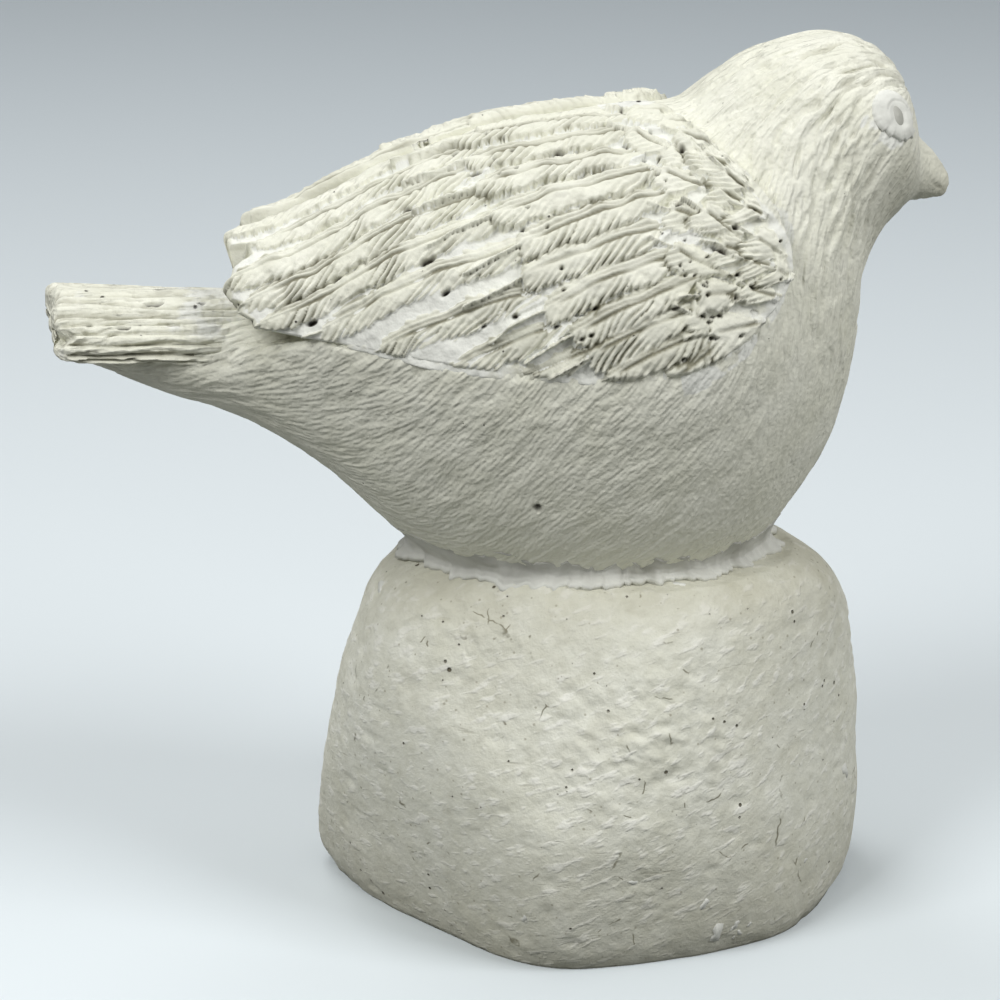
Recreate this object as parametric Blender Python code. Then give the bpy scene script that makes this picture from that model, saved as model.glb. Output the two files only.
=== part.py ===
"""Resin bird figurine: a plump perching bird, pinned and bonded to a smooth boulder.

The figurine is an assembly of castings. The boulder and the bird's trunk are the two heavy ones, joined at a
flat seat by two steel pins. The wings and the tail fan overhang, so they are cast apart and plug into the
trunk. The eyes sit in sockets, and white filler closes the joints.

Frame: +X is the way the bird faces, +Y is its left, +Z is up. The origin is the middle of the overall box, on
the surface that the boulder stands on. Sizes are in millimetres and become metres when a mesh is made.
"""

import math
from collections import namedtuple

import bmesh
import bpy
import numpy as np
from mathutils import Matrix, Vector
from mathutils.bvhtree import BVHTree

MM = 0.001

# Driving sizes
BIRD_LENGTH = 136.2  # tail tip to beak tip
BIRD_WIDTH = 59.0  # trunk alone, without its wings
BIRD_HEIGHT = 77.1  # seat to crown
ROCK_LENGTH = 90.4
ROCK_WIDTH = 80.8
ROCK_HEIGHT = 56.7  # floor to seat
CLEARANCE = 0.3  # bond gap between castings

PIN_DIAMETER = 6.0
PIN_LENGTH = 30.0  # half in the rock, half in the bird
PIN_SPACING = 24.0
PIN_FORWARD = 3.0  # middle of the pin pair ahead of the rock's centre

WING_THICKNESS = 5.0  # where a wing tip stands clear of the trunk
WING_PEG_DIAMETER = 7.0
WING_PEG_DEPTH = 8.0

TAIL_LENGTH = 35.0
TAIL_ROOT_WIDTH = 19.0
TAIL_TIP_WIDTH = 27.0
TAIL_ROOT_THICKNESS = 6.4
TAIL_TIP_THICKNESS = 5.2
TAIL_DROOP = 3.0  # edges below the crown line
TAIL_ROUNDNESS = 0.7  # 1 is an oval section, less is boxier
TAIL_PEG_DIAMETER = 5.0
TAIL_PEG_DEPTH = 9.0

EYE_DIAMETER = 3.2
EYE_DOME = 0.6
EYE_RING_DIAMETER = 8.2
EYE_RING_PROUD = 0.7
EYE_RING_SHOULDER = 0.8  # share of that height, halfway up the ring's outer slope
EYE_SOCKET_DEPTH = 2.6

SEAT_BEAD_RADIUS = 4.0
SEAT_BEAD_RISE = 1.2  # height above the seat at which the bead meets the belly
WING_BEAD_RADIUS = 2.2

# The trunk is a run of oval sections from under the tail to the beak. Each has its top and bottom points, as
# percent of the bird's length and height, and its half width, as percent of half the bird's width. wing_top
# and wing_side are how far the folded wing stands out from the section, in millimetres.
Section = namedtuple("Section", "top_x top_z bottom_x bottom_z half_width wing_top wing_side")
TRUNK = (
    Section(2.8, 49.2, 2.8, 42.3, 22, 0.0, 0.0),
    Section(11.1, 51.5, 11.8, 35.0, 33, 5.0, 3.0),
    Section(19.2, 53.0, 20.6, 28.8, 43, 9.8, 4.2),
    Section(27.2, 55.6, 29.4, 18.4, 59, 11.2, 4.0),
    Section(36.0, 66.7, 38.9, 2.6, 79, 8.6, 3.4),
    Section(46.3, 76.7, 50.7, -8.6, 93, 5.6, 3.0),
    Section(56.6, 82.4, 64.0, -11.2, 100, 3.6, 3.0),
    Section(64.0, 85.1, 74.7, -5.3, 99, 2.2, 3.0),
    Section(69.1, 87.5, 82.2, 8.3, 92, 1.2, 2.8),
    Section(72.7, 91.8, 86.8, 23.2, 83, 0.9, 2.6),
    Section(76.9, 96.2, 88.6, 38.8, 74, 0.8, 2.4),
    Section(81.7, 99.2, 89.2, 51.5, 66, 0.0, 0.0),
    Section(87.0, 99.8, 91.0, 59.7, 59, 0.0, 0.0),
    Section(91.6, 96.4, 93.4, 64.5, 50, 0.0, 0.0),
    Section(94.0, 90.4, 94.4, 65.8, 39, 0.0, 0.0),
    Section(95.2, 82.0, 95.3, 66.0, 27, 0.0, 0.0),
    Section(98.2, 76.0, 96.9, 66.0, 18, 0.0, 0.0),
    Section(99.8, 71.9, 99.3, 66.4, 9, 0.0, 0.0),
    Section(100.0, 69.9, 99.9, 68.0, 3, 0.0, 0.0),
)
SEAT_AT = 59.5  # the rock's centre under the bird, as percent of the bird's length
TAIL_ROOT_RISE = 48.8  # the tail's middle line at its two ends, as percent of the bird's height
TAIL_TIP_RISE = 52.7

# The folded wing lies on the sections between its tip and its shoulder. Each row gives a section number and
# the angles, in degrees from the top of the section, of the wing's upper and lower edges there.
WING_EDGES = (
    (2.15, 24, 66),
    (2.4, 10, 74),
    (3.1, 5, 77),
    (4.0, 4, 79),
    (5.3, 4, 82),
    (6.6, 4, 84),
    (7.4, 6, 83.5),
    (7.7, 12, 83),
    (8.0, 25, 82.5),
    (8.4, 41, 82),
    (8.75, 55, 80),
    (8.9, 64, 75),
)
LEFT_TIP_SHORTER = 0.3  # of a section: the two tips aren't a matched pair
WING_PEG_AT = (6.0, 55)  # section number and angle
WING_BEAD_SPAN = (3.6, 7.4)  # section numbers
EYE_AT = (12.55, 68)  # section number and angle

# The boulder's side profile, bottom to top: height as percent of the seat's height, reach as percent of half
# its length and half its width, and how far it leans forward there, in millimetres.
ROCK_PROFILE = (
    (0, 92, -1.5),
    (5, 98.5, -1.2),
    (13, 100, -0.7),
    (27, 99, 0.4),
    (50, 95, 1.7),
    (77, 88.7, 2.4),
    (91, 81.3, 2.6),
    (99, 67.5, 2.7),
    (103, 48, 2.7),
)
ROCK_SQUARENESS = 2.25  # 2 is an oval plan, more is boxier
# Broad worn faces of the boulder: bearing in degrees from +X, tilt above the horizon, and the percent of the
# way from the middle to the outline at which the face lies.
ROCK_FACETS = (
    (-149, -19.5, 80),
    (-120, 24, 85.5),
    (-62, 10, 90),
    (-36, -0.5, 89.5),
    (40, 18, 88),
    (140, 12, 86),
)
FACET_SOFTNESS = 3.0  # width of the round between a face and the rest
FACET_WEAR = 0.8  # share of what stands outside a face that is worn away

# How finely the round shapes are divided
TRUNK_RINGS = 40
TRUNK_SIDES = 32
ROCK_RINGS = 14
ROCK_SIDES = 32
WING_ROWS = 20
WING_COLUMNS = 8
TAIL_RINGS = 7
TAIL_SIDES = 20
SEAT_BEAD_STEPS = 36
WING_BEAD_STEPS = 16
TUBE_SIDES = 8
ROUND_SIDES = 20

# Finishes: colour in linear light, roughness and metallic
RESIN = ((0.74, 0.72, 0.62), 0.75, 0.0)
STONE_RESIN = ((0.66, 0.64, 0.56), 0.8, 0.0)
FILLER = ((0.82, 0.82, 0.83), 0.85, 0.0)
EYE_GREY = ((0.42, 0.43, 0.40), 0.6, 0.0)
STEEL = ((0.56, 0.57, 0.58), 0.35, 1.0)
SMOOTH_BELOW = math.radians(40)

SEAT_Z = ROCK_HEIGHT + CLEARANCE
TAIL_TIP_X = -BIRD_LENGTH / 2
ROCK_X = TAIL_TIP_X + SEAT_AT / 100 * BIRD_LENGTH
RIGHT, LEFT = -1, 1


# Reading the trunk's sections

def smooth_rows(rows, at):
    """Rows of numbers read at fractional row numbers, on a smooth curve through the rows."""
    rows = np.array(rows, float)
    at = np.clip(np.asarray(at, float), 0, len(rows) - 1)
    low = np.minimum(at.astype(int), len(rows) - 2)
    share = (at - low)[..., None]
    before, start = rows[np.maximum(low - 1, 0)], rows[low]
    end, after = rows[low + 1], rows[np.minimum(low + 2, len(rows) - 1)]
    bend = 2 * before - 5 * start + 4 * end - after
    twist = 3 * (start - end) + after - before
    return 0.5 * (2 * start + (end - before) * share + bend * share**2 + twist * share**3)


def bird_x(percent):
    return TAIL_TIP_X + percent / 100 * BIRD_LENGTH


def bird_z(percent):
    return SEAT_Z + percent / 100 * BIRD_HEIGHT


def trunk_point(section, angle, wing=0.0):
    """Points at section numbers and at angles from the top, towards the left; wing=1 is the wing's face."""
    row = smooth_rows(TRUNK, section)
    top = np.stack([bird_x(row[..., 0]), bird_z(row[..., 1])], -1)
    bottom = np.stack([bird_x(row[..., 2]), bird_z(row[..., 3])], -1)
    upright = (top - bottom) / np.linalg.norm(top - bottom, axis=-1, keepdims=True)
    top = top + upright * (wing * row[..., 5])[..., None]
    half_width = row[..., 4] / 100 * BIRD_WIDTH / 2 + wing * row[..., 6]
    middle, arm = (top + bottom) / 2, (top - bottom) / 2
    x = middle[..., 0] + arm[..., 0] * np.cos(angle)
    z = middle[..., 1] + arm[..., 1] * np.cos(angle)
    return np.stack([x, half_width * np.sin(angle), z], -1)


def trunk_normal(section, angle, wing=0.0, step=0.02):
    """Outward unit normals where trunk_point gives the points."""
    forward = trunk_point(section + step, angle, wing) - trunk_point(section - step, angle, wing)
    around = trunk_point(section, angle + step, wing) - trunk_point(section, angle - step, wing)
    normal = np.cross(forward, around)
    return normal / np.linalg.norm(normal, axis=-1, keepdims=True)


# Objects and their cuts

def finish_material(name, finish):
    colour, roughness, metallic = finish
    material = bpy.data.materials.new(name)
    material.use_nodes = True
    shader = material.node_tree.nodes["Principled BSDF"]
    shader.inputs["Base Color"].default_value = (*colour, 1.0)
    shader.inputs["Roughness"].default_value = roughness
    shader.inputs["Metallic"].default_value = metallic
    return material


def part_from(name, shape, finish=None):
    """A named object from a bmesh in millimetres. Without a finish it is a cutter, which isn't a piece."""
    bmesh.ops.recalc_face_normals(shape, faces=shape.faces)
    bmesh.ops.scale(shape, vec=(MM, MM, MM), verts=shape.verts)
    mesh = bpy.data.meshes.new(name)
    shape.to_mesh(mesh)
    shape.free()
    part = bpy.data.objects.new(name, mesh)
    bpy.context.scene.collection.objects.link(part)
    if finish:
        mesh.materials.append(finish_material(name, finish))
        mesh.shade_smooth()
        mesh.set_sharp_from_angle(angle=SMOOTH_BELOW)
    else:
        part.hide_render = True
        part.display_type = "WIRE"
    return part


def combine(part, other, operation):
    modifier = part.modifiers.new(other.name, "BOOLEAN")
    modifier.operation = operation
    modifier.object = other


def cut_by(part, cutter):
    combine(part, cutter, "DIFFERENCE")


def joined_with(part, addition):
    combine(part, addition, "UNION")


# Shapes that several pieces are made from

def bridge(shape, first, second):
    """Faces between two rings of vertices; a ring may be a single vertex."""
    count = max(len(first), len(second))
    for i in range(count):
        j = (i + 1) % count
        start = (first[i % len(first)], first[j % len(first)])
        end = (second[j % len(second)], second[i % len(second)])
        shape.faces.new(list(dict.fromkeys(start + end)))


def closed_loft(rings, joined_ends=False):
    """A bmesh of triangles through closed rings of points. Its ends are filled, or joined to each other."""
    shape = bmesh.new()
    loops = [[shape.verts.new(point) for point in ring] for ring in rings]
    for first, second in zip(loops, loops[1:]):
        bridge(shape, first, second)
    if joined_ends:
        bridge(shape, loops[-1], loops[0])
    else:
        shape.faces.new(loops[0])
        shape.faces.new(loops[-1])
    bmesh.ops.triangulate(shape, faces=shape.faces)
    return shape


def grown(shape, distance):
    """A copy of a bmesh with its surface moved out by a distance."""
    copy = shape.copy()
    bmesh.ops.recalc_face_normals(copy, faces=copy.faces)
    copy.normal_update()
    moved = [vertex.co + vertex.normal * distance * vertex.calc_shell_factor() for vertex in copy.verts]
    for vertex, place in zip(copy.verts, moved):
        vertex.co = place
    return copy


def circle(radius, sides):
    """Points on a circle; one point where the radius is nothing."""
    count = sides if radius > 0 else 1
    turns = [2 * math.pi * i / count for i in range(count)]
    return [(radius * math.cos(turn), radius * math.sin(turn)) for turn in turns]


def turned(profile, start, way):
    """A bmesh turned about a line. Its profile is (radius, height) points; one off the axis makes a ring."""
    place = Matrix.Translation(Vector(start)) @ Vector(way).to_track_quat("Z", "Y").to_matrix().to_4x4()
    shape = bmesh.new()
    loops = []
    for radius, height in profile:
        points = [place @ Vector((x, y, height)) for x, y in circle(radius, ROUND_SIDES)]
        loops.append([shape.verts.new(point) for point in points])
    for first, second in zip(loops, loops[1:]):
        bridge(shape, first, second)
    if profile[0][0] > 0:
        bridge(shape, loops[-1], loops[0])
    return shape


def rod(diameter, start, end, extra=0.0):
    """A plain round rod between two points, larger all round by extra."""
    way = Vector(end) - Vector(start)
    radius = diameter / 2 + extra
    low, high = -extra, way.length + extra
    return turned(((0, low), (radius, low), (radius, high), (0, high)), start, way)


def tube(points, radius, sides, closed=False):
    """A round tube through points, either a ring or with its ends filled."""
    points = np.array(points, float)
    ahead, behind = np.roll(points, -1, axis=0), np.roll(points, 1, axis=0)
    if not closed:
        ahead[-1], behind[0] = points[-1], points[0]
    rings = []
    for point, way in zip(points, ahead - behind):
        turn = Vector(way).to_track_quat("Z", "Y").to_matrix()
        rings.append([Vector(point) + turn @ Vector((x, y, 0)) for x, y in circle(radius, sides)])
    return closed_loft(rings, joined_ends=closed)


# The boulder

def worn(points, centre, half):
    """Points pulled in softly to each worn face that they stand outside of."""
    for bearing, tilt, reach in np.radians(ROCK_FACETS) * (1, 1, 180 / math.pi):
        level = math.cos(tilt)
        way = np.array([math.cos(bearing) * level, math.sin(bearing) * level, math.sin(tilt)])
        limit = reach / 100 * np.linalg.norm(half * way)
        outside = FACET_SOFTNESS * np.logaddexp(0, ((points - centre) @ way - limit) / FACET_SOFTNESS)
        points = points - FACET_WEAR * np.outer(outside, way)
    return points


def rock_shape():
    """A rounded boulder, flat where it stands and where the bird sits."""
    half = np.array([ROCK_LENGTH, ROCK_WIDTH, ROCK_HEIGHT]) / 2
    centre = np.array([ROCK_X, 0.0, ROCK_HEIGHT / 2])
    turns = np.linspace(0, 2 * math.pi, ROCK_SIDES, endpoint=False)
    ways = np.stack([np.cos(turns), np.sin(turns)], -1)
    plan = ways / (np.abs(ways) ** ROCK_SQUARENESS).sum(-1, keepdims=True) ** (1 / ROCK_SQUARENESS)
    rings = []
    for height, reach, lean in smooth_rows(ROCK_PROFILE, np.linspace(0, len(ROCK_PROFILE) - 1, ROCK_RINGS)):
        level = centre[:2] + (lean, 0) + half[:2] * reach / 100 * plan
        ring = np.column_stack([level, np.full(ROCK_SIDES, height / 100 * ROCK_HEIGHT)])
        ring = worn(ring, centre, half)
        ring[:, 2] = np.clip(ring[:, 2], 0, ROCK_HEIGHT)
        rings.append(ring)
    rings[0][:, 2] = 0
    rings[-1][:, 2] = ROCK_HEIGHT
    return closed_loft(rings)


# The trunk, with the head and beak

def trunk_shape():
    turns = np.linspace(0, 2 * math.pi, TRUNK_SIDES, endpoint=False)
    numbers = np.linspace(0, len(TRUNK) - 1, TRUNK_RINGS)
    shape = closed_loft([trunk_point(np.full(TRUNK_SIDES, number), turns) for number in numbers])
    bmesh.ops.recalc_face_normals(shape, faces=shape.faces)
    return shape


def flat_below(shape, height):
    """The bmesh cut off flat at a height, with what is above it kept."""
    whole = shape.verts[:] + shape.edges[:] + shape.faces[:]
    plane = {"plane_co": (0, 0, height), "plane_no": (0, 0, 1)}
    cut = bmesh.ops.bisect_plane(shape, geom=whole, clear_inner=True, **plane)
    rim = [item for item in cut["geom_cut"] if isinstance(item, bmesh.types.BMEdge)]
    bmesh.ops.edgeloop_fill(shape, edges=rim)
    return shape


# The wings

def wing_edges_at(numbers):
    """The wing's upper and lower edge angles, in radians, at section numbers."""
    at, upper, lower = np.array(WING_EDGES, float).T
    return np.radians(np.interp(numbers, at, upper)), np.radians(np.interp(numbers, at, lower))


def wing_plate_shape(side):
    """A curved plate whose outer face is the wing's and whose inner side reaches into the trunk."""
    tip = WING_EDGES[0][0] + (LEFT_TIP_SHORTER if side == LEFT else 0)
    numbers = np.linspace(tip, WING_EDGES[-1][0], WING_ROWS)
    upper, lower = wing_edges_at(numbers)
    across = np.linspace(0, 1, WING_COLUMNS)
    angles = side * (upper[:, None] + (lower - upper)[:, None] * across)
    numbers = np.repeat(numbers[:, None], WING_COLUMNS, axis=1)
    outer = trunk_point(numbers, angles, wing=1.0)
    inner = outer - trunk_normal(numbers, angles, wing=1.0) * WING_THICKNESS
    rings = [np.concatenate([face_out, face_in[::-1]]) for face_out, face_in in zip(outer, inner)]
    return closed_loft(rings)


def wing_peg_line(side):
    """The peg's two ends: within the wing's plate, and at its depth in the trunk."""
    number, angle = np.array(WING_PEG_AT[0]), np.array(side * math.radians(WING_PEG_AT[1]))
    root = (trunk_point(number, angle, wing=1.0) + trunk_point(number, angle)) / 2
    return root, trunk_point(number, angle) - trunk_normal(number, angle) * WING_PEG_DEPTH


def wing_bead_path(side, trunk_tree):
    """Points on the flank, in the corner under the wing's lower edge."""
    numbers = np.linspace(*WING_BEAD_SPAN, WING_BEAD_STEPS)
    edge = trunk_point(numbers, side * wing_edges_at(numbers)[1], wing=1.0)
    return [trunk_tree.find_nearest(Vector(point))[0] for point in edge]


# The tail fan

TAIL_ROOT = np.array([TAIL_TIP_X + TAIL_LENGTH, 0.0, bird_z(TAIL_ROOT_RISE)])
TAIL_TIP = np.array([TAIL_TIP_X, 0.0, bird_z(TAIL_TIP_RISE)])
TAIL_WAY = (TAIL_TIP - TAIL_ROOT) / np.linalg.norm(TAIL_TIP - TAIL_ROOT)


def tail_shape(extra=0.0):
    """A crowned slab that widens to a blunt end, larger all round by extra."""
    turns = np.linspace(0, 2 * math.pi, TAIL_SIDES, endpoint=False)
    across = np.sign(np.cos(turns)) * np.abs(np.cos(turns)) ** TAIL_ROUNDNESS
    upward = np.sign(np.sin(turns)) * np.abs(np.sin(turns)) ** TAIL_ROUNDNESS
    root, tip = TAIL_ROOT - TAIL_WAY * extra, TAIL_TIP + TAIL_WAY * extra
    rings = []
    for share in np.linspace(0, 1, TAIL_RINGS):
        half_width = (TAIL_ROOT_WIDTH + (TAIL_TIP_WIDTH - TAIL_ROOT_WIDTH) * share) / 2 + extra
        half_depth = (TAIL_ROOT_THICKNESS + (TAIL_TIP_THICKNESS - TAIL_ROOT_THICKNESS) * share) / 2 + extra
        x, _, z = root + (tip - root) * share
        heights = z + half_depth * upward - TAIL_DROOP * across**2
        rings.append(np.column_stack([np.full(TAIL_SIDES, x), half_width * across, heights]))
    return closed_loft(rings)


def tail_peg_line():
    """The peg's two ends: as deep in the tail as in the trunk."""
    return TAIL_ROOT + TAIL_WAY * TAIL_PEG_DEPTH, TAIL_ROOT - TAIL_WAY * TAIL_PEG_DEPTH


# The eyes

def eye_seat(side):
    """The eye's place on the head and the way that it looks."""
    number, angle = np.array(EYE_AT[0]), np.array(side * math.radians(EYE_AT[1]))
    return trunk_point(number, angle), trunk_normal(number, angle)


def eye_socket_shape(side):
    place, way = eye_seat(side)
    diameter = EYE_RING_DIAMETER + 2 * CLEARANCE
    return rod(diameter, place - way * EYE_SOCKET_DEPTH, place + way * EYE_RING_DIAMETER)


def eye_ring_shape(side):
    """A filler ring with a round lip, standing a little proud of the head."""
    outer, inner = EYE_RING_DIAMETER / 2, EYE_DIAMETER / 2 + CLEARANCE
    middle, foot = (outer + inner) / 2, CLEARANCE - EYE_SOCKET_DEPTH
    lip = ((outer, 0), ((outer + middle) / 2, EYE_RING_SHOULDER * EYE_RING_PROUD), (middle, EYE_RING_PROUD))
    return turned(((inner, foot), (outer, foot), *lip, (inner, EYE_RING_PROUD / 2)), *eye_seat(side))


def eye_shape(side):
    """A round-headed bead that fills the ring's hole."""
    radius, foot = EYE_DIAMETER / 2, CLEARANCE - EYE_SOCKET_DEPTH
    dome = [(radius * math.cos(turn), EYE_DOME * math.sin(turn)) for turn in np.radians((0, 30, 60))]
    return turned(((0, foot), (radius, foot), *dome, (0, EYE_DOME)), *eye_seat(side))


# The seat

def pin_line(end):
    """A pin's lower and upper ends; end is -1 for the rear pin and 1 for the front one."""
    middle = np.array([ROCK_X + PIN_FORWARD + end * PIN_SPACING / 2, 0, SEAT_Z])
    return middle - (0, 0, PIN_LENGTH / 2), middle + (0, 0, PIN_LENGTH / 2)


def seat_bead_path(trunk_tree):
    """A ring of points at the seat's height, under the line where the bead meets the belly."""
    rise = Vector((0, 0, SEAT_BEAD_RISE))
    middle = Vector((ROCK_X + PIN_FORWARD, 0, SEAT_Z)) + rise
    ways = [Vector((x, y, 0)) for x, y in circle(1, SEAT_BEAD_STEPS)]
    return [trunk_tree.ray_cast(middle, way)[0] - rise for way in ways]


# Putting it together

def build():
    for old in list(bpy.data.objects):
        bpy.data.objects.remove(old)

    trunk = trunk_shape()
    trunk_tree = BVHTree.FromBMesh(trunk)
    trunk_room = part_from("trunk_room", flat_below(grown(trunk, CLEARANCE), ROCK_HEIGHT))
    body = part_from("bird_body", flat_below(trunk, SEAT_Z), RESIN)

    boulder = rock_shape()
    rock_room = part_from("rock_room", grown(boulder, CLEARANCE))
    rock = part_from("rock_base", boulder, STONE_RESIN)

    for name, end in (("rear_seat_pin", -1), ("front_seat_pin", 1)):
        part_from(name, rod(PIN_DIAMETER, *pin_line(end)), STEEL)
        bore = part_from(name + "_bore", rod(PIN_DIAMETER, *pin_line(end), extra=CLEARANCE))
        cut_by(rock, bore)
        cut_by(body, bore)

    bead = tube(seat_bead_path(trunk_tree), SEAT_BEAD_RADIUS, TUBE_SIDES, closed=True)
    filler = part_from("seat_filler", bead, FILLER)
    cut_by(filler, trunk_room)
    cut_by(filler, rock_room)

    tail = part_from("tail_fan", tail_shape(), RESIN)
    joined_with(tail, part_from("tail_peg", rod(TAIL_PEG_DIAMETER, *tail_peg_line())))
    cut_by(body, part_from("tail_room", tail_shape(CLEARANCE)))
    cut_by(body, part_from("tail_peg_socket", rod(TAIL_PEG_DIAMETER, *tail_peg_line(), extra=CLEARANCE)))

    for name, side in (("right", RIGHT), ("left", LEFT)):
        line = wing_peg_line(side)
        peg = part_from(name + "_wing_peg", rod(WING_PEG_DIAMETER, *line))
        socket = part_from(name + "_wing_socket", rod(WING_PEG_DIAMETER, *line, extra=CLEARANCE))
        plate = wing_plate_shape(side)
        wing_room = part_from(name + "_wing_room", grown(plate, CLEARANCE))
        wing = part_from(name + "_wing", plate, RESIN)
        cut_by(wing, trunk_room)
        joined_with(wing, peg)
        cut_by(body, socket)

        bead = tube(wing_bead_path(side, trunk_tree), WING_BEAD_RADIUS, TUBE_SIDES)
        filler = part_from(name + "_wing_filler", bead, FILLER)
        cut_by(filler, trunk_room)
        cut_by(filler, wing_room)

        cut_by(body, part_from(name + "_eye_socket", eye_socket_shape(side)))
        part_from(name + "_eye_ring", eye_ring_shape(side), FILLER)
        part_from(name + "_eye", eye_shape(side), EYE_GREY)


build()
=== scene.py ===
"""Resin bird figurine, as it looks: a feather-carved bird on a worn boulder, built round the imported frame."""

import itertools
import math

import bpy
import numpy as np
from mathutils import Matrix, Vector
from mathutils.bvhtree import BVHTree


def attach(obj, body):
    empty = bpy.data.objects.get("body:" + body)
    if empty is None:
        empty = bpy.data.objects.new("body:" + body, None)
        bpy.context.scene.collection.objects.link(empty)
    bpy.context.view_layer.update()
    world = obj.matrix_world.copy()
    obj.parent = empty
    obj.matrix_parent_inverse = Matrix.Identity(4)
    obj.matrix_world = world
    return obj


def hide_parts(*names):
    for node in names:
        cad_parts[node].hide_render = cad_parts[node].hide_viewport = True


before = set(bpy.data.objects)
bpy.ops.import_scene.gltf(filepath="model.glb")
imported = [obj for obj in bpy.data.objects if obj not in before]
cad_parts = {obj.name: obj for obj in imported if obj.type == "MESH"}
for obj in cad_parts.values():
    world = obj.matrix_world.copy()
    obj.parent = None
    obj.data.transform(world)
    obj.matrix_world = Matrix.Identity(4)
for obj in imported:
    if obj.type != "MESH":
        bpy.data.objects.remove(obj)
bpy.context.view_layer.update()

# The boulder: one heavy casting in stone-filled resin, with soft worn faces and a flat foot. It was rubbed
# down by hand after it left the mould, so it is smooth, with pinholes from trapped air, scuffs, smudges and
# dabs, and shade is painted round the seat under the bird and towards the foot.
MM = 0.001
BOULDER_SIZE = np.array([90.4, 80.8, 56.7])
BOULDER_X = 12.94  # its middle along the bird
BOULDER_PROFILE = (  # percent of the height, percent reach of the outline, lean forward in mm
    (0, 92, -1.5),
    (5, 98.5, -1.2),
    (13, 100, -0.7),
    (27, 99, 0.4),
    (50, 95, 1.7),
    (77, 88.7, 2.4),
    (91, 81.3, 2.6),
    (99, 67.5, 2.7),
    (103, 48, 2.7),
)
BOULDER_SQUARENESS = 2.25
BOULDER_FACES = (  # bearing and tilt in degrees, and percent of the way out at which the worn face lies
    (-149, -19.5, 80),
    (-120, 24, 85.5),
    (-62, 10, 90),
    (-36, -0.5, 89.5),
    (40, 18, 88),
    (140, 12, 86),
    (-82, -24, 103),
)
FACE_SOFTNESS = 3.0  # mm of round beside a worn face
FACE_WEAR = 0.8  # share of what stands past a face that is worn off
UNWORN_FOOT = 12.0  # mm up from the ground over which the faces stop pulling down
BOULDER_STEP = 0.47  # mm between points of the mesh
TORN_PATCH, TORN_SIZE = np.array([14.0, -38.0, 36.0]), np.array([20.0, 14.0, 12.0])  # middle, half sizes
KNOCKED, KNOCKED_SIZE = np.array([32.0, -34.0, 9.0]), np.array([22.0, 20.0, 9.0])  # where flakes stuck to it
CLEAN_FOOT = 2.5  # mm up from the ground without flakes
SEAT_RING, SEAT_RING_X = np.array([33.0, 26.0]), BOULDER_X + 4  # half sizes and middle of the ring of painted shade round the seat
DAB_SLANT = np.array([[0.75, 0, 0.5], [0, 1, 0], [-0.5, 0, 1.3]])  # turns and flattens the small dabs


def smooth_rows(rows, at):
    """Rows of numbers read at fractional row numbers, on a smooth curve through the rows."""
    rows = np.array(rows, float)
    at = np.clip(np.asarray(at, float), 0, len(rows) - 1)
    low = np.minimum(at.astype(int), len(rows) - 2)
    share = (at - low)[..., None]
    before, start = rows[np.maximum(low - 1, 0)], rows[low]
    end, after = rows[low + 1], rows[np.minimum(low + 2, len(rows) - 1)]
    bend = 2 * before - 5 * start + 4 * end - after
    twist = 3 * (start - end) + after - before
    return 0.5 * (2 * start + (end - before) * share + bend * share**2 + twist * share**3)


def lumps(points, size, seed):
    """Smooth random heights from -1 to 1 at points, in lumps of about that size."""
    table = np.random.default_rng(seed).uniform(-1, 1, 4096)
    cell = np.asarray(points) / size
    base = np.floor(cell).astype(np.int64)
    share = cell - base
    share = share * share * (3 - 2 * share)
    total = np.zeros(len(cell))
    for corner in itertools.product((0, 1), repeat=3):
        x, y, z = (base + corner).T
        weight = np.where(corner, share, 1 - share).prod(axis=1)
        total += weight * table[(x * 73856093 ^ y * 19349663 ^ z * 83492791) % len(table)]
    return total


def even_steps(lengths, step):
    """Fractional places along a run of segment lengths, about a step apart, with both ends."""
    along = np.concatenate([[0], np.cumsum(lengths)])
    count = max(int(round(along[-1] / step)), 2)
    return np.interp(np.linspace(0, along[-1], count + 1), along, np.arange(len(along)))


def skin_faces(rings, inside_out=False):
    """Triangles over closed rings, each given by its points' turns from 0 to 1, with a fan on each end."""
    starts = np.concatenate([[0], np.cumsum([len(turns) for turns in rings])]).tolist()
    faces = []
    for row in range(len(rings) - 1):
        a, b = list(rings[row]) + [rings[row][0] + 1], list(rings[row + 1]) + [rings[row + 1][0] + 1]
        na, nb, i, j = len(a) - 1, len(b) - 1, 0, 0
        first, second = starts[row], starts[row + 1]
        while i < na or j < nb:
            if j == nb or (i < na and a[i + 1] <= b[j + 1]):
                faces.append((first + i, first + (i + 1) % na, second + j % nb))
                i += 1
            else:
                faces.append((first + i % na, second + (j + 1) % nb, second + j))
                j += 1
    low, high, last = starts[-1], starts[-1] + 1, starts[-2]
    count, end = len(rings[0]), len(rings[-1])
    faces += [((i + 1) % count, i, low) for i in range(count)]
    faces += [(last + i, last + (i + 1) % end, high) for i in range(end)]
    return [face[::-1] for face in faces] if inside_out else faces


def mesh_from(name, points, faces, **values):
    """A smooth-shaded mesh from points in millimetres, with an attribute for each named list of values.

    Points past the end of a list, as the middles of the fans are, get zeros.
    """
    mesh = bpy.data.meshes.new(name)
    mesh.from_pydata((np.asarray(points) * MM).tolist(), [], [tuple(face) for face in faces])
    mesh.shade_smooth()
    for key, numbers in values.items():
        rest = np.zeros((len(points) - len(numbers), *numbers.shape[1:]))
        kind, field = ("FLOAT_VECTOR", "vector") if numbers.ndim == 2 else ("FLOAT", "value")
        data = mesh.attributes.new(key, kind, "POINT").data
        data.foreach_set(field, np.concatenate([numbers, rest]).ravel())
    return mesh


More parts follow.
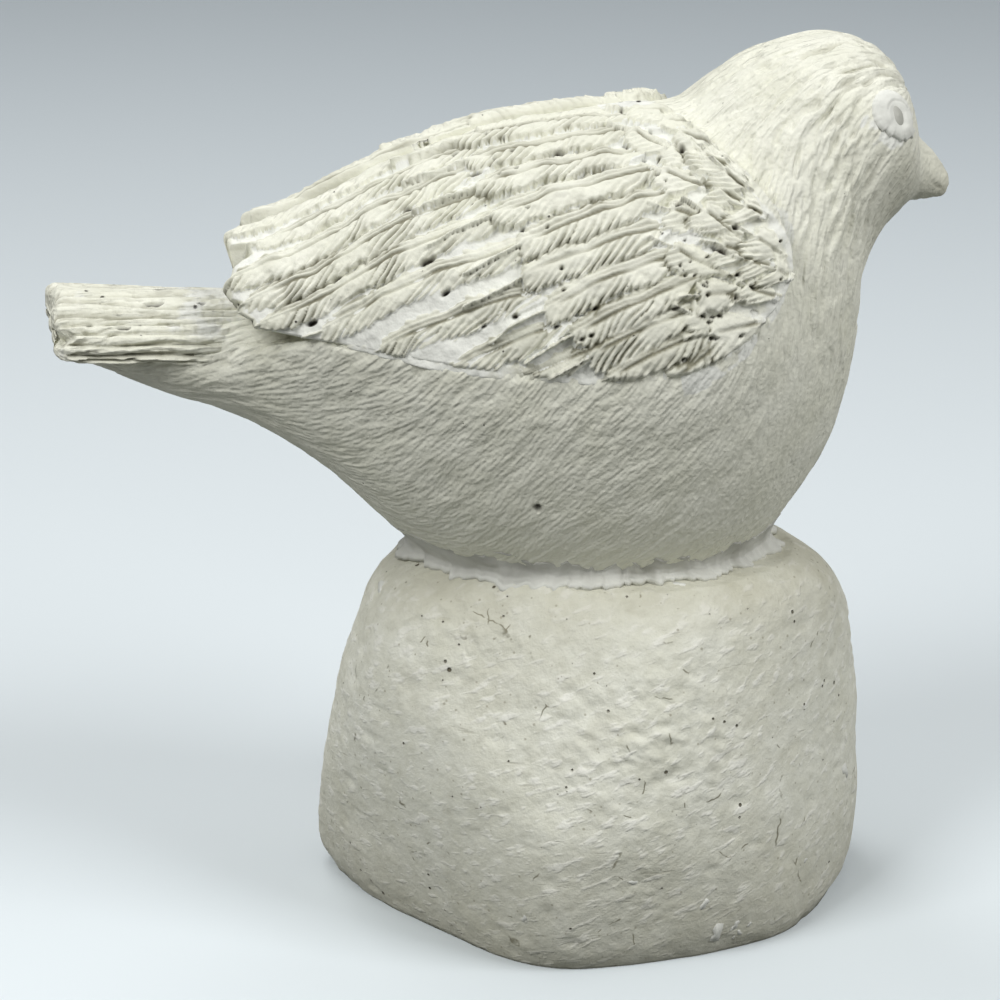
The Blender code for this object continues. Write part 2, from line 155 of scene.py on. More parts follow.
def skin_from(name, points, rings, inside_out=False, **values):
    """A mesh over closed rings of points, with the middles of the first and last rings added for the fans."""
    ends = [points[: len(rings[0])].mean(0)], [points[-len(rings[-1]) :].mean(0)]
    return mesh_from(name, np.concatenate([points, *ends]), skin_faces(rings, inside_out), **values)


def add_object(name, data):
    """An object in the scene."""
    made = bpy.data.objects.new(name, data)
    bpy.context.scene.collection.objects.link(made)
    return made


def piece_from(name, mesh, material, slot, *nodes):
    """The finished piece: a mesh with its material, riding on the figurine in place of CAD nodes."""
    piece = add_object(name, mesh)
    mesh.materials.clear()
    mesh.materials.append(material)
    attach(piece, "root")
    if nodes:
        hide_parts(*nodes)


def bell(value):
    """1 at 0, falling smoothly to 0 on both sides within about 2."""
    return np.exp(-(value**2))


def jitter(points, size, seed):
    """Smooth random moves of points, each way from -1 to 1."""
    return np.stack([lumps(points, size, seed + n) for n in range(3)], -1)


def round_angles(count):
    """That many angles evenly all the way round."""
    return np.linspace(0, 2 * np.pi, count, endpoint=False)


def every_pair(first, second):
    """Each of the first numbers with each of the second ones, as two long lists."""
    return [grid.ravel() for grid in np.meshgrid(first, second, indexing="ij")]


def boulder_points(rows, turns):
    """The boulder's surface at profile rows and at turns from 0 to 1."""
    half, centre = BOULDER_SIZE / 2, np.array([BOULDER_X, 0, BOULDER_SIZE[2] / 2])
    height, reach, lean = smooth_rows(BOULDER_PROFILE, rows).T
    ways = np.stack([np.cos(2 * np.pi * turns), np.sin(2 * np.pi * turns)], -1)
    plan = ways / (np.abs(ways) ** BOULDER_SQUARENESS).sum(-1, keepdims=True) ** (1 / BOULDER_SQUARENESS)
    across = centre[:2] + half[:2] * plan * reach[:, None] / 100
    points = np.column_stack([across, height / 100 * BOULDER_SIZE[2]])
    points[:, 0] += lean
    for bearing, tilt, share in BOULDER_FACES:
        flat, steep = math.radians(bearing), math.radians(tilt)
        way = np.array([math.cos(flat) * math.cos(steep), math.sin(flat) * math.cos(steep), math.sin(steep)])
        limit = share / 100 * np.linalg.norm(half * way)
        outside = FACE_SOFTNESS * np.logaddexp(0, ((points - centre) @ way - limit) / FACE_SOFTNESS)
        lift = np.clip(points[:, 2] / UNWORN_FOOT, 0, 1)
        pull = np.column_stack([0 * lift + way[0], 0 * lift + way[1], lift * way[2]])
        points = points - FACE_WEAR * outside[:, None] * pull
    points[:, 2] = np.clip(points[:, 2], 0, BOULDER_SIZE[2])
    points[rows == 0, 2] = 0
    return points


trial = np.linspace(0, len(BOULDER_PROFILE) - 1, 400)
profile_line = boulder_points(trial, np.zeros(len(trial)))
gaps = np.linalg.norm(np.diff(profile_line, axis=0), axis=1)
rows = np.interp(even_steps(gaps, BOULDER_STEP), np.arange(len(trial)), trial)
around = np.linspace(0, 1, int(np.pi * BOULDER_SIZE[:2].mean() / BOULDER_STEP), endpoint=False)
row_grid, turn_grid = every_pair(rows, around)
points = boulder_points(row_grid, turn_grid)
nudge, last_row = 1e-3, len(BOULDER_PROFILE) - 1
out = np.cross(
    boulder_points(row_grid, turn_grid + nudge) - points,
    boulder_points(np.clip(row_grid + nudge, 0, last_row), turn_grid)
    - boulder_points(np.clip(row_grid - nudge, 0, last_row), turn_grid),
)
out /= np.maximum(np.linalg.norm(out, axis=1, keepdims=True), 1e-9)
# Broad hollows, hand-rubbed flats, torn patches and shallow dents, all inwards: the casting keeps its size.
rise = 0.55 * lumps(points, 17, 1) + 0.3 * lumps(points, 7.5, 2) + 0.1 * lumps(points * (1, 1, 1.4), 3.4, 3)
torn = np.clip(1.3 - np.linalg.norm((points - TORN_PATCH) / TORN_SIZE, axis=1), 0, 1)
torn = torn + np.clip(lumps(points, 13, 6), 0, 0.6)
dabs = lumps(points @ DAB_SLANT, 1.6, 4) + 0.45 * lumps(points @ DAB_SLANT, 0.85, 7)
rise = np.minimum(rise + (0.03 + 0.2 * torn) * dabs - 0.6, 0)
dents = np.clip(lumps(points * (1, 1, 1.4), 3.6, 5) - 0.4, 0, 1)
points = points + out * (rise - 0.55 * dents)[:, None]
points[:, 2] = np.clip(points[:, 2], 0, BOULDER_SIZE[2])
points[row_grid == 0, 2] = 0
knocks = np.clip(1.4 - np.linalg.norm((points - KNOCKED) / KNOCKED_SIZE, axis=1), 0, 1) + 0.05
knocks[points[:, 2] < CLEAN_FOOT] = 0
# Painted shade: darker round the seat under the bird, and towards the foot.
from_seat = np.hypot((points[:, 0] - SEAT_RING_X) / SEAT_RING[0], points[:, 1] / SEAT_RING[1]) - 1
soil = np.clip(0.45 - 1.5 * from_seat, 0, 0.42) * np.clip((points[:, 2] - 36) / 16, 0, 1)
soil = soil + 0.36 * np.clip(1 - points[:, 2] / 24, 0, 1)
soil = np.clip(soil * (1 + 0.3 * lumps(points, 6, 8)), 0, 1)
ring_turns = [around] * len(rows)
boulder_mesh = skin_from("boulder", points, ring_turns, soil=soil, knocks=knocks)


def linear(hex_colour):
    """An sRGB hex colour as linear light, with alpha."""
    shares = [int(hex_colour[i : i + 2], 16) / 255 for i in (1, 3, 5)]
    return (*(s / 12.92 if s <= 0.04045 else ((s + 0.055) / 1.055) ** 2.4 for s in shares), 1.0)


def give(node, inputs):
    """Sets a node's inputs to values, or links them from other nodes' outputs."""
    for socket, value in inputs.items():
        if isinstance(value, bpy.types.NodeSocket):
            node.id_data.links.new(value, node.inputs[socket])
        else:
            node.inputs[socket].default_value = value


def add_node(tree, kind, inputs=None, **settings):
    """A node with its settings and inputs."""
    made = tree.nodes.new(kind)
    for name, value in settings.items():
        setattr(made, name, value)
    give(made, inputs or {})
    return made


def noise(tree, place, scale, detail, **more):
    """A cloudy pattern from 0 to 1; its scale is 1000 over the size of its marks in millimetres."""
    inputs = {"Vector": place, "Scale": scale, "Detail": detail, **more}
    return add_node(tree, "ShaderNodeTexNoise", inputs).outputs["Fac"]


def specks(tree, place, scale):
    """Scattered specks: three random numbers for each, and the distance from its middle."""
    cells = add_node(tree, "ShaderNodeTexVoronoi", {"Vector": place, "Scale": scale}).outputs
    return add_node(tree, "ShaderNodeSeparateColor", {0: cells["Color"]}).outputs, cells["Distance"]


def ramp(tree, value, low, high, start=0.0, end=1.0, **settings):
    """Goes from the start to the end, and no further, while a value goes from low to high."""
    inputs = {0: value, 1: low, 2: high, 3: start, 4: end}
    return add_node(tree, "ShaderNodeMapRange", inputs, **settings).outputs[0]


def joined(tree, operation, first, second):
    """One number made out of two."""
    return add_node(tree, "ShaderNodeMath", {0: first, 1: second}, operation=operation).outputs[0]


def blend(tree, share, *colours):
    """A share of the way from one colour to another, which are hex colours or other nodes' outputs."""
    first, second = (linear(colour) if isinstance(colour, str) else colour for colour in colours)
    return add_node(tree, "ShaderNodeMix", {0: share, 6: first, 7: second}, data_type="RGBA").outputs[2]


def bumps(tree, *layers):
    """The normal under layers of relief, each with its height, strength, depth in mm, and if it is sunk."""
    normal = {}
    for height, strength, depth, sunk in layers:
        shaped = {"Height": height, "Strength": strength, "Distance": depth * MM, **normal}
        normal = {"Normal": add_node(tree, "ShaderNodeBump", shaped, invert=sunk).outputs[0]}
    return normal["Normal"]


def new_material(name):
    """An empty material's tree, with the shader and the object's own coordinates."""
    material = bpy.data.materials.new(name)
    material.use_nodes = True
    tree = material.node_tree
    shader = tree.nodes["Principled BSDF"]
    return material, tree, shader, tree.nodes.new("ShaderNodeTexCoord").outputs["Object"]


# Stone-filled resin, rubbed smooth: matt yellowish cream, cloudy where the filler settled, with dust, stains,
# long rubbing scuffs, a few hair cracks, slanting smudges with raised pale dabs between them whose brightness
# is a painted highlight, and pinholes in clusters, painted dark inside as shade.
stone, tree, shader, place = new_material("rubbed_stone_resin")
tone = ramp(tree, noise(tree, place, 1000 / 12, 6.0, Roughness=0.65), 0.3, 0.7)
dust = ramp(tree, noise(tree, place, 1000 / 3.0, 5.0, Roughness=0.7), 0.35, 0.7, 0.3, 0.0)
stain = ramp(tree, noise(tree, place, 1000 / 22, 4.0, Distortion=1.0), 0.55, 0.78, 0.0, 0.25)
rubbed = add_node(  # scuffs about 7 mm long and 1.25 mm wide
    tree, "ShaderNodeMapping", {"Vector": place, "Rotation": (0.0, 0.35, 0.0), "Scale": (150, 150, 800)}
)
scuff = ramp(tree, noise(tree, rubbed.outputs[0], 1.0, 3.0), 0.68, 0.78, 0.0, 0.4)
wavy = add_node(tree, "ShaderNodeTexNoise", {"Vector": place, "Scale": 1000 / 6, "Detail": 3.0})
swerve = add_node(
    tree,
    "ShaderNodeVectorMath",
    {0: wavy.outputs["Color"], 1: (4 * MM, 4 * MM, 4 * MM), 2: place},
    operation="MULTIPLY_ADD",
)
crack = add_node(
    tree, "ShaderNodeTexVoronoi", {"Vector": swerve.outputs[0], "Scale": 1000 / 9}, feature="DISTANCE_TO_EDGE"
)
narrow = ramp(tree, crack.outputs["Distance"], 0.005, 0.017, 1.0, 0.0)
seldom = ramp(tree, noise(tree, place, 1000 / 3.5, 3.0), 0.6, 0.65, 0.0, 0.9)
smeared = add_node(
    tree,
    "ShaderNodeMapping",
    {"Vector": place, "Rotation": (0.0, -0.4, 0.0), "Scale": (3.2 * MM, 2.6 * MM, 1.3 * MM)},
    vector_type="TEXTURE",
)
smudge = noise(tree, smeared.outputs[0], 1.0, 2.0)
pale = ramp(tree, smudge, 0.46, 0.28, 0.0, 0.7, interpolation_type="SMOOTHSTEP")
soil = add_node(tree, "ShaderNodeAttribute", attribute_name="soil").outputs["Fac"]
crowd = ramp(tree, noise(tree, place, 1000 / 9, 2.0), 0.42, 0.66, 0.0, 0.24)
chance, distance = specks(tree, place, 1000 / 2.0)
size = joined(tree, "MULTIPLY", chance[0], crowd)
hole = ramp(tree, joined(tree, "SUBTRACT", size, distance), 0.0, 0.07)
chance, distance = specks(tree, place, 1000 / 1.1)
size = ramp(tree, chance[1], 0.5, 1.0, 0.0, 0.26)
dot = ramp(tree, joined(tree, "SUBTRACT", size, distance), 0.0, 0.12, 0.0, 0.55)
# Each mark is laid over the cream and the marks before it; the pale dabs are a painted highlight, and the
# seat-and-foot layer and the pinholes are painted shade.
colour = blend(tree, tone, "#E4E4D5", "#F1F2E7")
for share, shade in (
    (dust, "#C5C5B2"),
    (stain, "#BCB8A2"),
    (scuff, "#A8A490"),
    (joined(tree, "MULTIPLY", narrow, seldom), "#77735F"),
    (ramp(tree, smudge, 0.58, 0.76, 0.0, 0.3), "#AFAE9D"),
    (pale, "#F7F7EF"),
    (soil, "#A6A28D"),
    (dot, "#8F8871"),
    (hole, "#6B6553"),
):
    colour = blend(tree, share, colour, shade)
grain = noise(tree, place, 1000 / 1.4, 5.0, Roughness=0.6)
layers = (grain, 0.5, 0.6, False), (scuff, 0.5, 0.3, True), (pale, 0.45, 0.3, False), (hole, 1.0, 0.5, True)
relief = bumps(tree, *layers)
give(shader, {"Base Color": colour, "Normal": relief, "Roughness": 0.75, "Specular IOR Level": 0.35})
piece_from("boulder", boulder_mesh, stone, "stone_resin", "rock_base")

# The flakes: crumbs of white filler that dropped on the boulder while the seat was filled, and set there. They
# are thin and ragged, and most lie low on the front.
FLAKE_SIZES = (0.35, 1.5)  # mm, smallest and largest reach
FLAKES_PER_M2 = 22000.0  # where they lie thickest
FLAKE_CORNERS = 11
FULL_TURN = 6.283  # radians
flakes = bpy.data.collections.new("flake_shapes")
for number in range(4):
    dice = np.random.default_rng(60 + number)
    bearing = round_angles(FLAKE_CORNERS)
    reach = dice.uniform(0.5, 1.2, FLAKE_CORNERS) * (1 + 0.45 * np.cos(2 * bearing))
    ring = np.stack([reach * np.cos(bearing), reach * np.sin(bearing), 0 * bearing], -1)
    points = np.concatenate([ring - (0, 0, 0.3), 0.85 * ring + (0, 0, 0.05), [(0.1, 0, 0.07)]])
    low = np.arange(FLAKE_CORNERS)
    beside, high, middle = np.roll(low, -1), low + FLAKE_CORNERS, 2 * FLAKE_CORNERS
    faces = [*zip(low, beside, beside + FLAKE_CORNERS, high)]
    faces += [(a, b + FLAKE_CORNERS, middle) for a, b in zip(high, beside)]
    flakes.objects.link(bpy.data.objects.new(f"flake_{number}", mesh_from(f"flake_{number}", points, faces)))

# Scattered flakes: strewn over a surface by its own density, turned at random and made real.
scatter = bpy.data.node_groups.new("scattered_flakes", "GeometryNodeTree")
sockets = {
    name: scatter.interface.new_socket(name, in_out="INPUT", socket_type="NodeSocket" + kind)
    for name, kind in (
        ("Surface", "Geometry"),
        ("Shapes", "Collection"),
        ("Density", "Float"),
        ("Smallest", "Float"),
        ("Largest", "Float"),
        ("Seed", "Int"),
        ("Material", "Material"),
    )
}
scatter.interface.new_socket("Piece", in_out="OUTPUT", socket_type="NodeSocketGeometry")
given = scatter.nodes.new("NodeGroupInput").outputs
where = add_node(scatter, "GeometryNodeInputNamedAttribute", {"Name": "knocks"}, data_type="FLOAT")
thick = add_node(
    scatter, "ShaderNodeMath", {0: where.outputs["Attribute"], 1: given["Density"]}, operation="MULTIPLY"
)
strewn = add_node(
    scatter,
    "GeometryNodeDistributePointsOnFaces",
    {"Mesh": given["Surface"], "Density": thick.outputs[0], "Seed": given["Seed"]},
)
spin = add_node(
    scatter,
    "FunctionNodeRandomValue",
    {0: (0.0, 0.0, 0.0), 1: (0.0, 0.0, FULL_TURN), "Seed": given["Seed"]},
    data_type="FLOAT_VECTOR",
)
facing = add_node(
    scatter,
    "FunctionNodeRotateRotation",
    {"Rotation": strewn.outputs["Rotation"], "Rotate By": spin.outputs[0]},
    rotation_space="LOCAL",
)
size = add_node(
    scatter,
    "FunctionNodeRandomValue",
    {2: given["Smallest"], 3: given["Largest"], "Seed": given["Seed"]},
    data_type="FLOAT",
)
shapes = add_node(
    scatter,
    "GeometryNodeCollectionInfo",
    {0: given["Shapes"], "Separate Children": True, "Reset Children": True},
)
placed = add_node(
    scatter,
    "GeometryNodeInstanceOnPoints",
    {
        "Points": strewn.outputs["Points"],
        "Instance": shapes.outputs[0],
        "Pick Instance": True,
        "Rotation": facing.outputs[0],
        "Scale": size.outputs[1],
    },
)
real = add_node(scatter, "GeometryNodeRealizeInstances", {"Geometry": placed.outputs[0]})
dressed = add_node(
    scatter, "GeometryNodeSetMaterial", {"Geometry": real.outputs[0], "Material": given["Material"]}
)
scatter.links.new(dressed.outputs[0], scatter.nodes.new("NodeGroupOutput").inputs[0])

# White filler: chalky and matt, faintly cloudy, greyer where shade is painted on it.
chalk, tree, shader, place = new_material("white_filler")
tone = ramp(tree, noise(tree, place, 1000 / 3, 4.0), 0.3, 0.7)
groove = add_node(tree, "ShaderNodeAttribute", attribute_name="groove").outputs["Fac"]
colour = blend(tree, groove, blend(tree, tone, "#DBDCD5", "#E8E9E2"), "#5E5A4E")
relief = bumps(tree, (noise(tree, place, 1000 / 0.5, 3.0), 0.4, 0.15, False))
give(shader, {"Base Color": colour, "Normal": relief, "Roughness": 0.85, "Specular IOR Level": 0.3})
ground = add_object("flake_ground", boulder_mesh)
modifier = ground.modifiers.new("flakes", "NODES")
modifier.node_group = scatter
for name, value in (
    ("Shapes", flakes),
    ("Density", FLAKES_PER_M2),
    ("Smallest", FLAKE_SIZES[0]),
    ("Largest", FLAKE_SIZES[1]),
    ("Seed", 7),
    ("Material", chalk),
):
    modifier[sockets[name].identifier] = value
flake_mesh = bpy.data.meshes.new_from_object(ground.evaluated_get(bpy.context.evaluated_depsgraph_get()))
flake_mesh.name = "boulder_flakes"
ground.modifiers.clear()
bpy.data.objects.remove(ground)
piece_from("boulder_flakes", flake_mesh, chalk, "filler")

# The seat pins: two plain drawn-steel rods, bonded into bores in the boulder and in the bird. They are hidden
# in the finished figurine, so they stay as the CAD has them.
#
# Drawn steel: bright grey, with faint lines along the rod from the die.
steel, tree, shader, place = new_material("drawn_steel_rod")
drawn = add_node(tree, "ShaderNodeMapping", {"Vector": place, "Scale": (1000 / 0.4, 1000 / 0.4, 1000 / 20)})
gloss = ramp(tree, noise(tree, drawn.outputs[0], 1.0, 2.0), 0.0, 1.0, 0.25, 0.45)
give(shader, {"Base Color": linear("#C4C6C8"), "Metallic": 1.0, "Roughness": gloss})
for pin in ("rear_seat_pin", "front_seat_pin"):
    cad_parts[pin].data.materials.clear()
    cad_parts[pin].data.materials.append(steel)

# The bird's trunk, head and beak: one casting in the same resin, combed all over with short carved strokes that
# run from the brow over the nape, down the breast and back along the belly to the tail.
BIRD_LENGTH, BIRD_WIDTH, BIRD_HEIGHT = 136.2, 59.0, 77.1
SEAT_Z = 57.0
TRUNK = (  # percent places of each oval's top and bottom, its half width, and mm the wing stands up and out
    (2.8, 49.2, 2.8, 42.3, 22, 0.0, 0.0),
    (11.1, 51.5, 11.8, 35.0, 33, 5.0, 3.0),
    (19.2, 53.0, 20.6, 28.8, 43, 9.8, 4.2),
    (27.2, 55.6, 29.4, 18.4, 59, 11.2, 4.0),
    (36.0, 66.7, 38.9, 2.6, 79, 8.6, 3.4),
    (46.3, 76.7, 50.7, -8.6, 93, 5.6, 3.0),
    (56.6, 82.4, 64.0, -11.2, 100, 3.6, 3.0),
    (64.0, 85.1, 74.7, -5.3, 99, 2.2, 3.0),
    (69.1, 87.5, 82.2, 8.3, 92, 1.2, 2.8),
    (72.7, 91.8, 86.8, 23.2, 83, 0.9, 2.6),
    (76.9, 96.2, 88.6, 38.8, 74, 0.8, 2.4),
    (81.7, 99.2, 89.2, 51.5, 66, 0.0, 0.0),
    (87.0, 99.8, 91.0, 59.7, 59, 0.0, 0.0),
    (91.6, 96.4, 93.4, 64.5, 50, 0.0, 0.0),
    (94.0, 90.4, 94.4, 65.8, 39, 0.0, 0.0),
    (95.2, 82.0, 95.3, 66.0, 27, 0.0, 0.0),
    (98.2, 76.0, 96.9, 66.0, 18, 0.0, 0.0),
    (99.8, 71.9, 99.3, 66.4, 9, 0.0, 0.0),
    (100.0, 69.9, 99.9, 68.0, 3, 0.0, 0.0),
)
WING_EDGES = np.array((  # section number, and the angles from the top of the wing's upper and lower edges
    (2.0, 7, 75),
    (2.4, 5.5, 76),
    (3.1, 5, 77),
    (4.0, 4, 79),
    (5.3, 4, 82),
    (6.6, 4, 84),
    (7.4, 6, 83.5),
    (7.7, 12, 83),
    (8.0, 25, 82.5),
    (8.4, 41, 82),
    (8.75, 55, 80),
    (8.9, 64, 75),
))
COMBING = (  # section number, and the strokes' slope in degrees at the section's top, side and bottom
    (0, 4, 10, 14),
    (2, 8, 18, 20),
    (3, 14, 28, 30),
    (4, 20, 40, 40),
    (5, 26, 50, 48),
    (6, 32, 58, 56),
    (7, 36, 66, 66),
    (8, 40, 74, 80),
    (9, 42, 78, 88),
    (10, 42, 72, 90),
    (11, 38, 60, 88),
    (12, 30, 46, 80),
    (13, 20, 40, 70),
    (15, 10, 40, 60),
    (18, 0, 30, 40),
)
TRUNK_STEP = 0.42  # mm between points where the trunk shows
HIDDEN_STEP = 2.0  # under the wings and in the seat
STROKE_WIDTH, STROKE_LENGTH, STROKE_DEPTH = 0.75, 8.0, 0.62
LOCK_WIDTH, LOCK_LENGTH, LOCK_DEPTH = 2.2, 12.0, 0.5  # of the broader waves that the strokes lie in
EYE_SECTION, EYE_ANGLE = 12.55, 68  # where the middle of each eye lies
TRUNK_HOLES = (  # section number, turn in degrees and half width in mm: belly, beak tip on both sides, breast
    (5.07, -113, 0.55),
    (17.28, -109, 0.38),
    (17.2, 107, 0.34),
    (10.6, -96, 0.22),
    (10.1, -84, 0.2),
)


def trunk_points(section, angle, wing=0.0):
    """Points at section numbers and at angles from the top, towards the left; wing=1 is the wing's face."""
    row = smooth_rows(TRUNK, section)
    top_x, bottom_x = ((row[..., i] / 100 - 0.5) * BIRD_LENGTH for i in (0, 2))
    top_z, bottom_z = (SEAT_Z + row[..., i] / 100 * BIRD_HEIGHT for i in (1, 3))
    tall = np.hypot(top_x - bottom_x, top_z - bottom_z)
    stretch = 1 + wing * row[..., 5] / tall
    top_x, top_z = bottom_x + (top_x - bottom_x) * stretch, bottom_z + (top_z - bottom_z) * stretch
    half_width = row[..., 4] / 100 * BIRD_WIDTH / 2 + wing * row[..., 6]
    x = (top_x + bottom_x) / 2 + (top_x - bottom_x) / 2 * np.cos(angle)
    z = (top_z + bottom_z) / 2 + (top_z - bottom_z) / 2 * np.cos(angle)
    return np.stack([x, half_width * np.sin(angle), z], -1)


def trunk_normals(section, angle, wing=0.0):
    """Outward unit normals where trunk_points gives the points."""
    nudge = 0.02
    forward = trunk_points(section + nudge, angle, wing) - trunk_points(section - nudge, angle, wing)
    sideways = trunk_points(section, angle + nudge, wing) - trunk_points(section, angle - nudge, wing)
    normal = np.cross(forward, sideways)
    return normal / np.maximum(np.linalg.norm(normal, axis=-1, keepdims=True), 1e-9)


def degrees_from_top(angle):
    """Degrees from the top on either side, 0 to 180, for angles in radians."""
    return np.abs((np.degrees(angle) + 180) % 360 - 180)


def wing_edges(section):
    """Degrees from the top of the wing's upper and lower edges at section numbers."""
    return [np.interp(section, WING_EDGES[:, 0], edge) for edge in WING_EDGES[:, 1:].T]


def flank_points(section, angle):
    """The trunk's points, swelling out to meet the wings along their lower edges and between them."""
    from_top = degrees_from_top(angle)
    past = (from_top - wing_edges(section)[1]) / 26
    swell = np.interp(past, (-0.8, -0.25, 0.03, 0.3, 0.65, 1.1), (0, 0.75, 0.97, 0.7, 0.25, 0))
    swell = swell * np.interp(section, (1.8, 3.0, 7.8, 8.9), (0, 1, 1, 0))
    back = np.interp(from_top, (0, 9, 24), (0.86, 0.8, 0))
    back = back * np.interp(section, (2.2, 3.6, 7.0, 8.2), (0, 1, 1, 0))
    return trunk_points(section, angle, np.maximum(swell, back))


def combed(points, ways, width, length, seed):
    """Random streaks of a width and a length that lie along the ways, about -2 to 2."""
    bent = points + 0.16 * length * jitter(points, 0.7 * length, seed + 100)
    reaches = np.linspace(-0.5, 0.5, int(2 * length / width) + 1) * length
    total = sum(lumps(bent + ways * reach, width, seed) for reach in reaches)
    return total / total.std()


def trunk_ring(section):
    """Turns from 0 to 1 round a section, close together where the trunk shows."""
    trial = np.linspace(0, 2 * np.pi, 721)
    line = trunk_points(np.full(len(trial), section), trial)
    upper, lower = wing_edges(section)
    from_top = degrees_from_top(trial)
    covered = (2.9 < section < 8.5) & (upper + 9 < from_top) & (from_top < lower - 9)
    covered |= line[:, 2] < SEAT_Z - 1
    steps = np.where(covered, HIDDEN_STEP, TRUNK_STEP)[1:]
    lengths = np.linalg.norm(np.diff(line, axis=0), axis=1) / steps
    return np.interp(even_steps(lengths, 1.0)[:-1], np.arange(len(trial)), trial / (2 * np.pi))


trial = np.linspace(0, len(TRUNK) - 1, 600)
fan = trunk_points(trial[:, None], round_angles(24)[None])
advance = np.linalg.norm(np.diff(fan, axis=0), axis=2).mean(1)
sections = np.interp(even_steps(advance, TRUNK_STEP), np.arange(len(trial)), trial)
ring_turns = [trunk_ring(section) for section in sections]
section = np.repeat(sections, [len(turns) for turns in ring_turns])
angle = 2 * np.pi * np.concatenate(ring_turns)
points, out = flank_points(section, angle), trunk_normals(section, angle)

# The strokes' ways over the skin, and the grooves along them: weak on the cheek, by the eye and on the belly.
at, *slopes = np.array(COMBING, float).T
top_slope, side_slope, bottom_slope = (np.interp(section, at, slope) for slope in slopes)
upright = np.cos(angle)
turned = np.where(upright > 0, top_slope - side_slope, bottom_slope - side_slope)
slope = np.radians(side_slope + turned * upright**2)
slope += 0.22 * lumps(points, 11, 11)
ways = np.stack([np.cos(slope), 0 * slope, np.sin(slope)], -1)
ways -= out * (ways * out).sum(1, keepdims=True)
ways /= np.maximum(np.linalg.norm(ways, axis=1, keepdims=True), 1e-9)
strokes = combed(points, ways, STROKE_WIDTH, STROKE_LENGTH, 12)
locks = combed(points, ways, LOCK_WIDTH, LOCK_LENGTH, 13)
groove = np.clip((0.35 - strokes) / 1.7, 0, 1)
hollow = np.clip((1.0 - locks) / 2.4, 0, 1)
bare = np.interp(section, (0, 6, 9, 11, 13, 14.3, 15, 18), (0.8, 0.5, 0.65, 1, 0.75, 0.3, 0.2, 0.15))
cheek = np.interp(section, (10.5, 12, 14), (0, 1, 1)) * np.clip(0.6 - upright * 1.2, 0, 1)
eye_middle = trunk_points(np.array(EYE_SECTION), np.radians(EYE_ANGLE))
folded = np.column_stack([points[:, 0], np.abs(points[:, 1]), points[:, 2]])
from_eye = np.linalg.norm(folded - eye_middle, axis=1)
bare = bare * (1 - 0.7 * cheek) * np.interp(from_eye, (4.2, 7), (0.15, 1))
nape = np.clip(upright * 1.5, 0, 1) * np.interp(section, (8, 9.5, 12.3, 13.5), (0, 1, 1, 0))
belly = np.clip(0.6 - upright * 1.5, 0, 1) * np.interp(section, (0, 2, 8, 9.5), (0.2, 0.9, 1, 0.1))
bare = bare * (1 + 0.35 * nape - 0.6 * belly)
carved = STROKE_DEPTH * groove + LOCK_DEPTH * (1 - 0.4 * nape) * hollow
points = points - out * (bare * carved + 0.1)[:, None]
points[:, 2] = np.maximum(points[:, 2], SEAT_Z)
# The rough beak with its mouth line, and the holes that trapped air left in the belly and at the beak's tip.
beak = np.interp(section, (14.4, 15.4), (0, 1))
coarse = 0.12 + 0.12 * lumps(points, 1.3, 16) + 0.1 * lumps(points, 0.8, 17)
points = points - out * (beak * coarse)[:, None]
from_top = degrees_from_top(angle)
mouth_turn = np.interp(section, (15, 17.3), (88, 110))
mouth = np.exp(-((from_top - mouth_turn) ** 2) / 18) * np.clip(section * 2 - 31, 0, 1)
holes = 0 * section
for at, turn, wide in TRUNK_HOLES:
    from_hole = np.linalg.norm(points - trunk_points(np.array(at), np.radians(turn)), axis=1)
    holes = np.maximum(holes, np.clip(1.6 - from_hole / wide, 0, 1))
points = points - out * (0.22 * mouth * (1 + 0.6 * lumps(points, 0.9, 18)) + 0.7 * holes)[:, None]
# Filler wiped over the wing's front edge and under the eye, and shade painted in the grooves, along the mouth
# line and on the cheek, lighter on the neck.
wing_front = np.interp(  # the section number at which the wing's front edge lies, by the angle from the top
    from_top,
    (0, 6, 12, 25, 41, 55, 64, 75, 82, 90, 120),
    (7.2, 7.4, 7.7, 8.0, 8.4, 8.75, 8.9, 8.9, 8.6, 6.0, 0.0),
)
smear = np.clip(1 - (section - wing_front) / 0.4, 0, 1) * (section > 6.5)
smear = smear + 0.5 * lumps(points, 2.5, 14) + 0.25 * lumps(points, 1.0, 15)
smear = np.clip(smear * 1.4 - 0.65, 0, 0.75)
wiped = np.clip(1.85 - from_eye / 3.5 + 0.3 * strokes, 0, 0.8)
wiped = wiped * np.clip((eye_middle[2] + 1 - points[:, 2]) / 2, 0, 1)
smear = np.maximum(smear, wiped)
trunk_shade = 0.4 * bare * (groove + 0.15 * hollow) * (1 - 0.6 * smear) + 0.22 * mouth + 0.32 * cheek
trunk_shade = trunk_shade * np.interp(section, (6.6, 8, 10.3, 11.5), (1, 0.3, 0.3, 1))
fine = np.interp(section, (13, 15), (1, 0.4)) * (1 - 0.5 * belly) * (1 - 0.4 * cheek)
trunk_mesh = skin_from(
    "bird_trunk",
    points,
    ring_turns,
    groove=np.clip(trunk_shade, 0, 1),
    cavity=holes,
    filler=smear,
    pits=0.25 + 0.75 * smear,
    way=ways * fine[:, None],
    tan=np.append(np.interp(section, (15, 16.5, 18), (0, 0.15, 0.3)), (0, 0.3)),
)
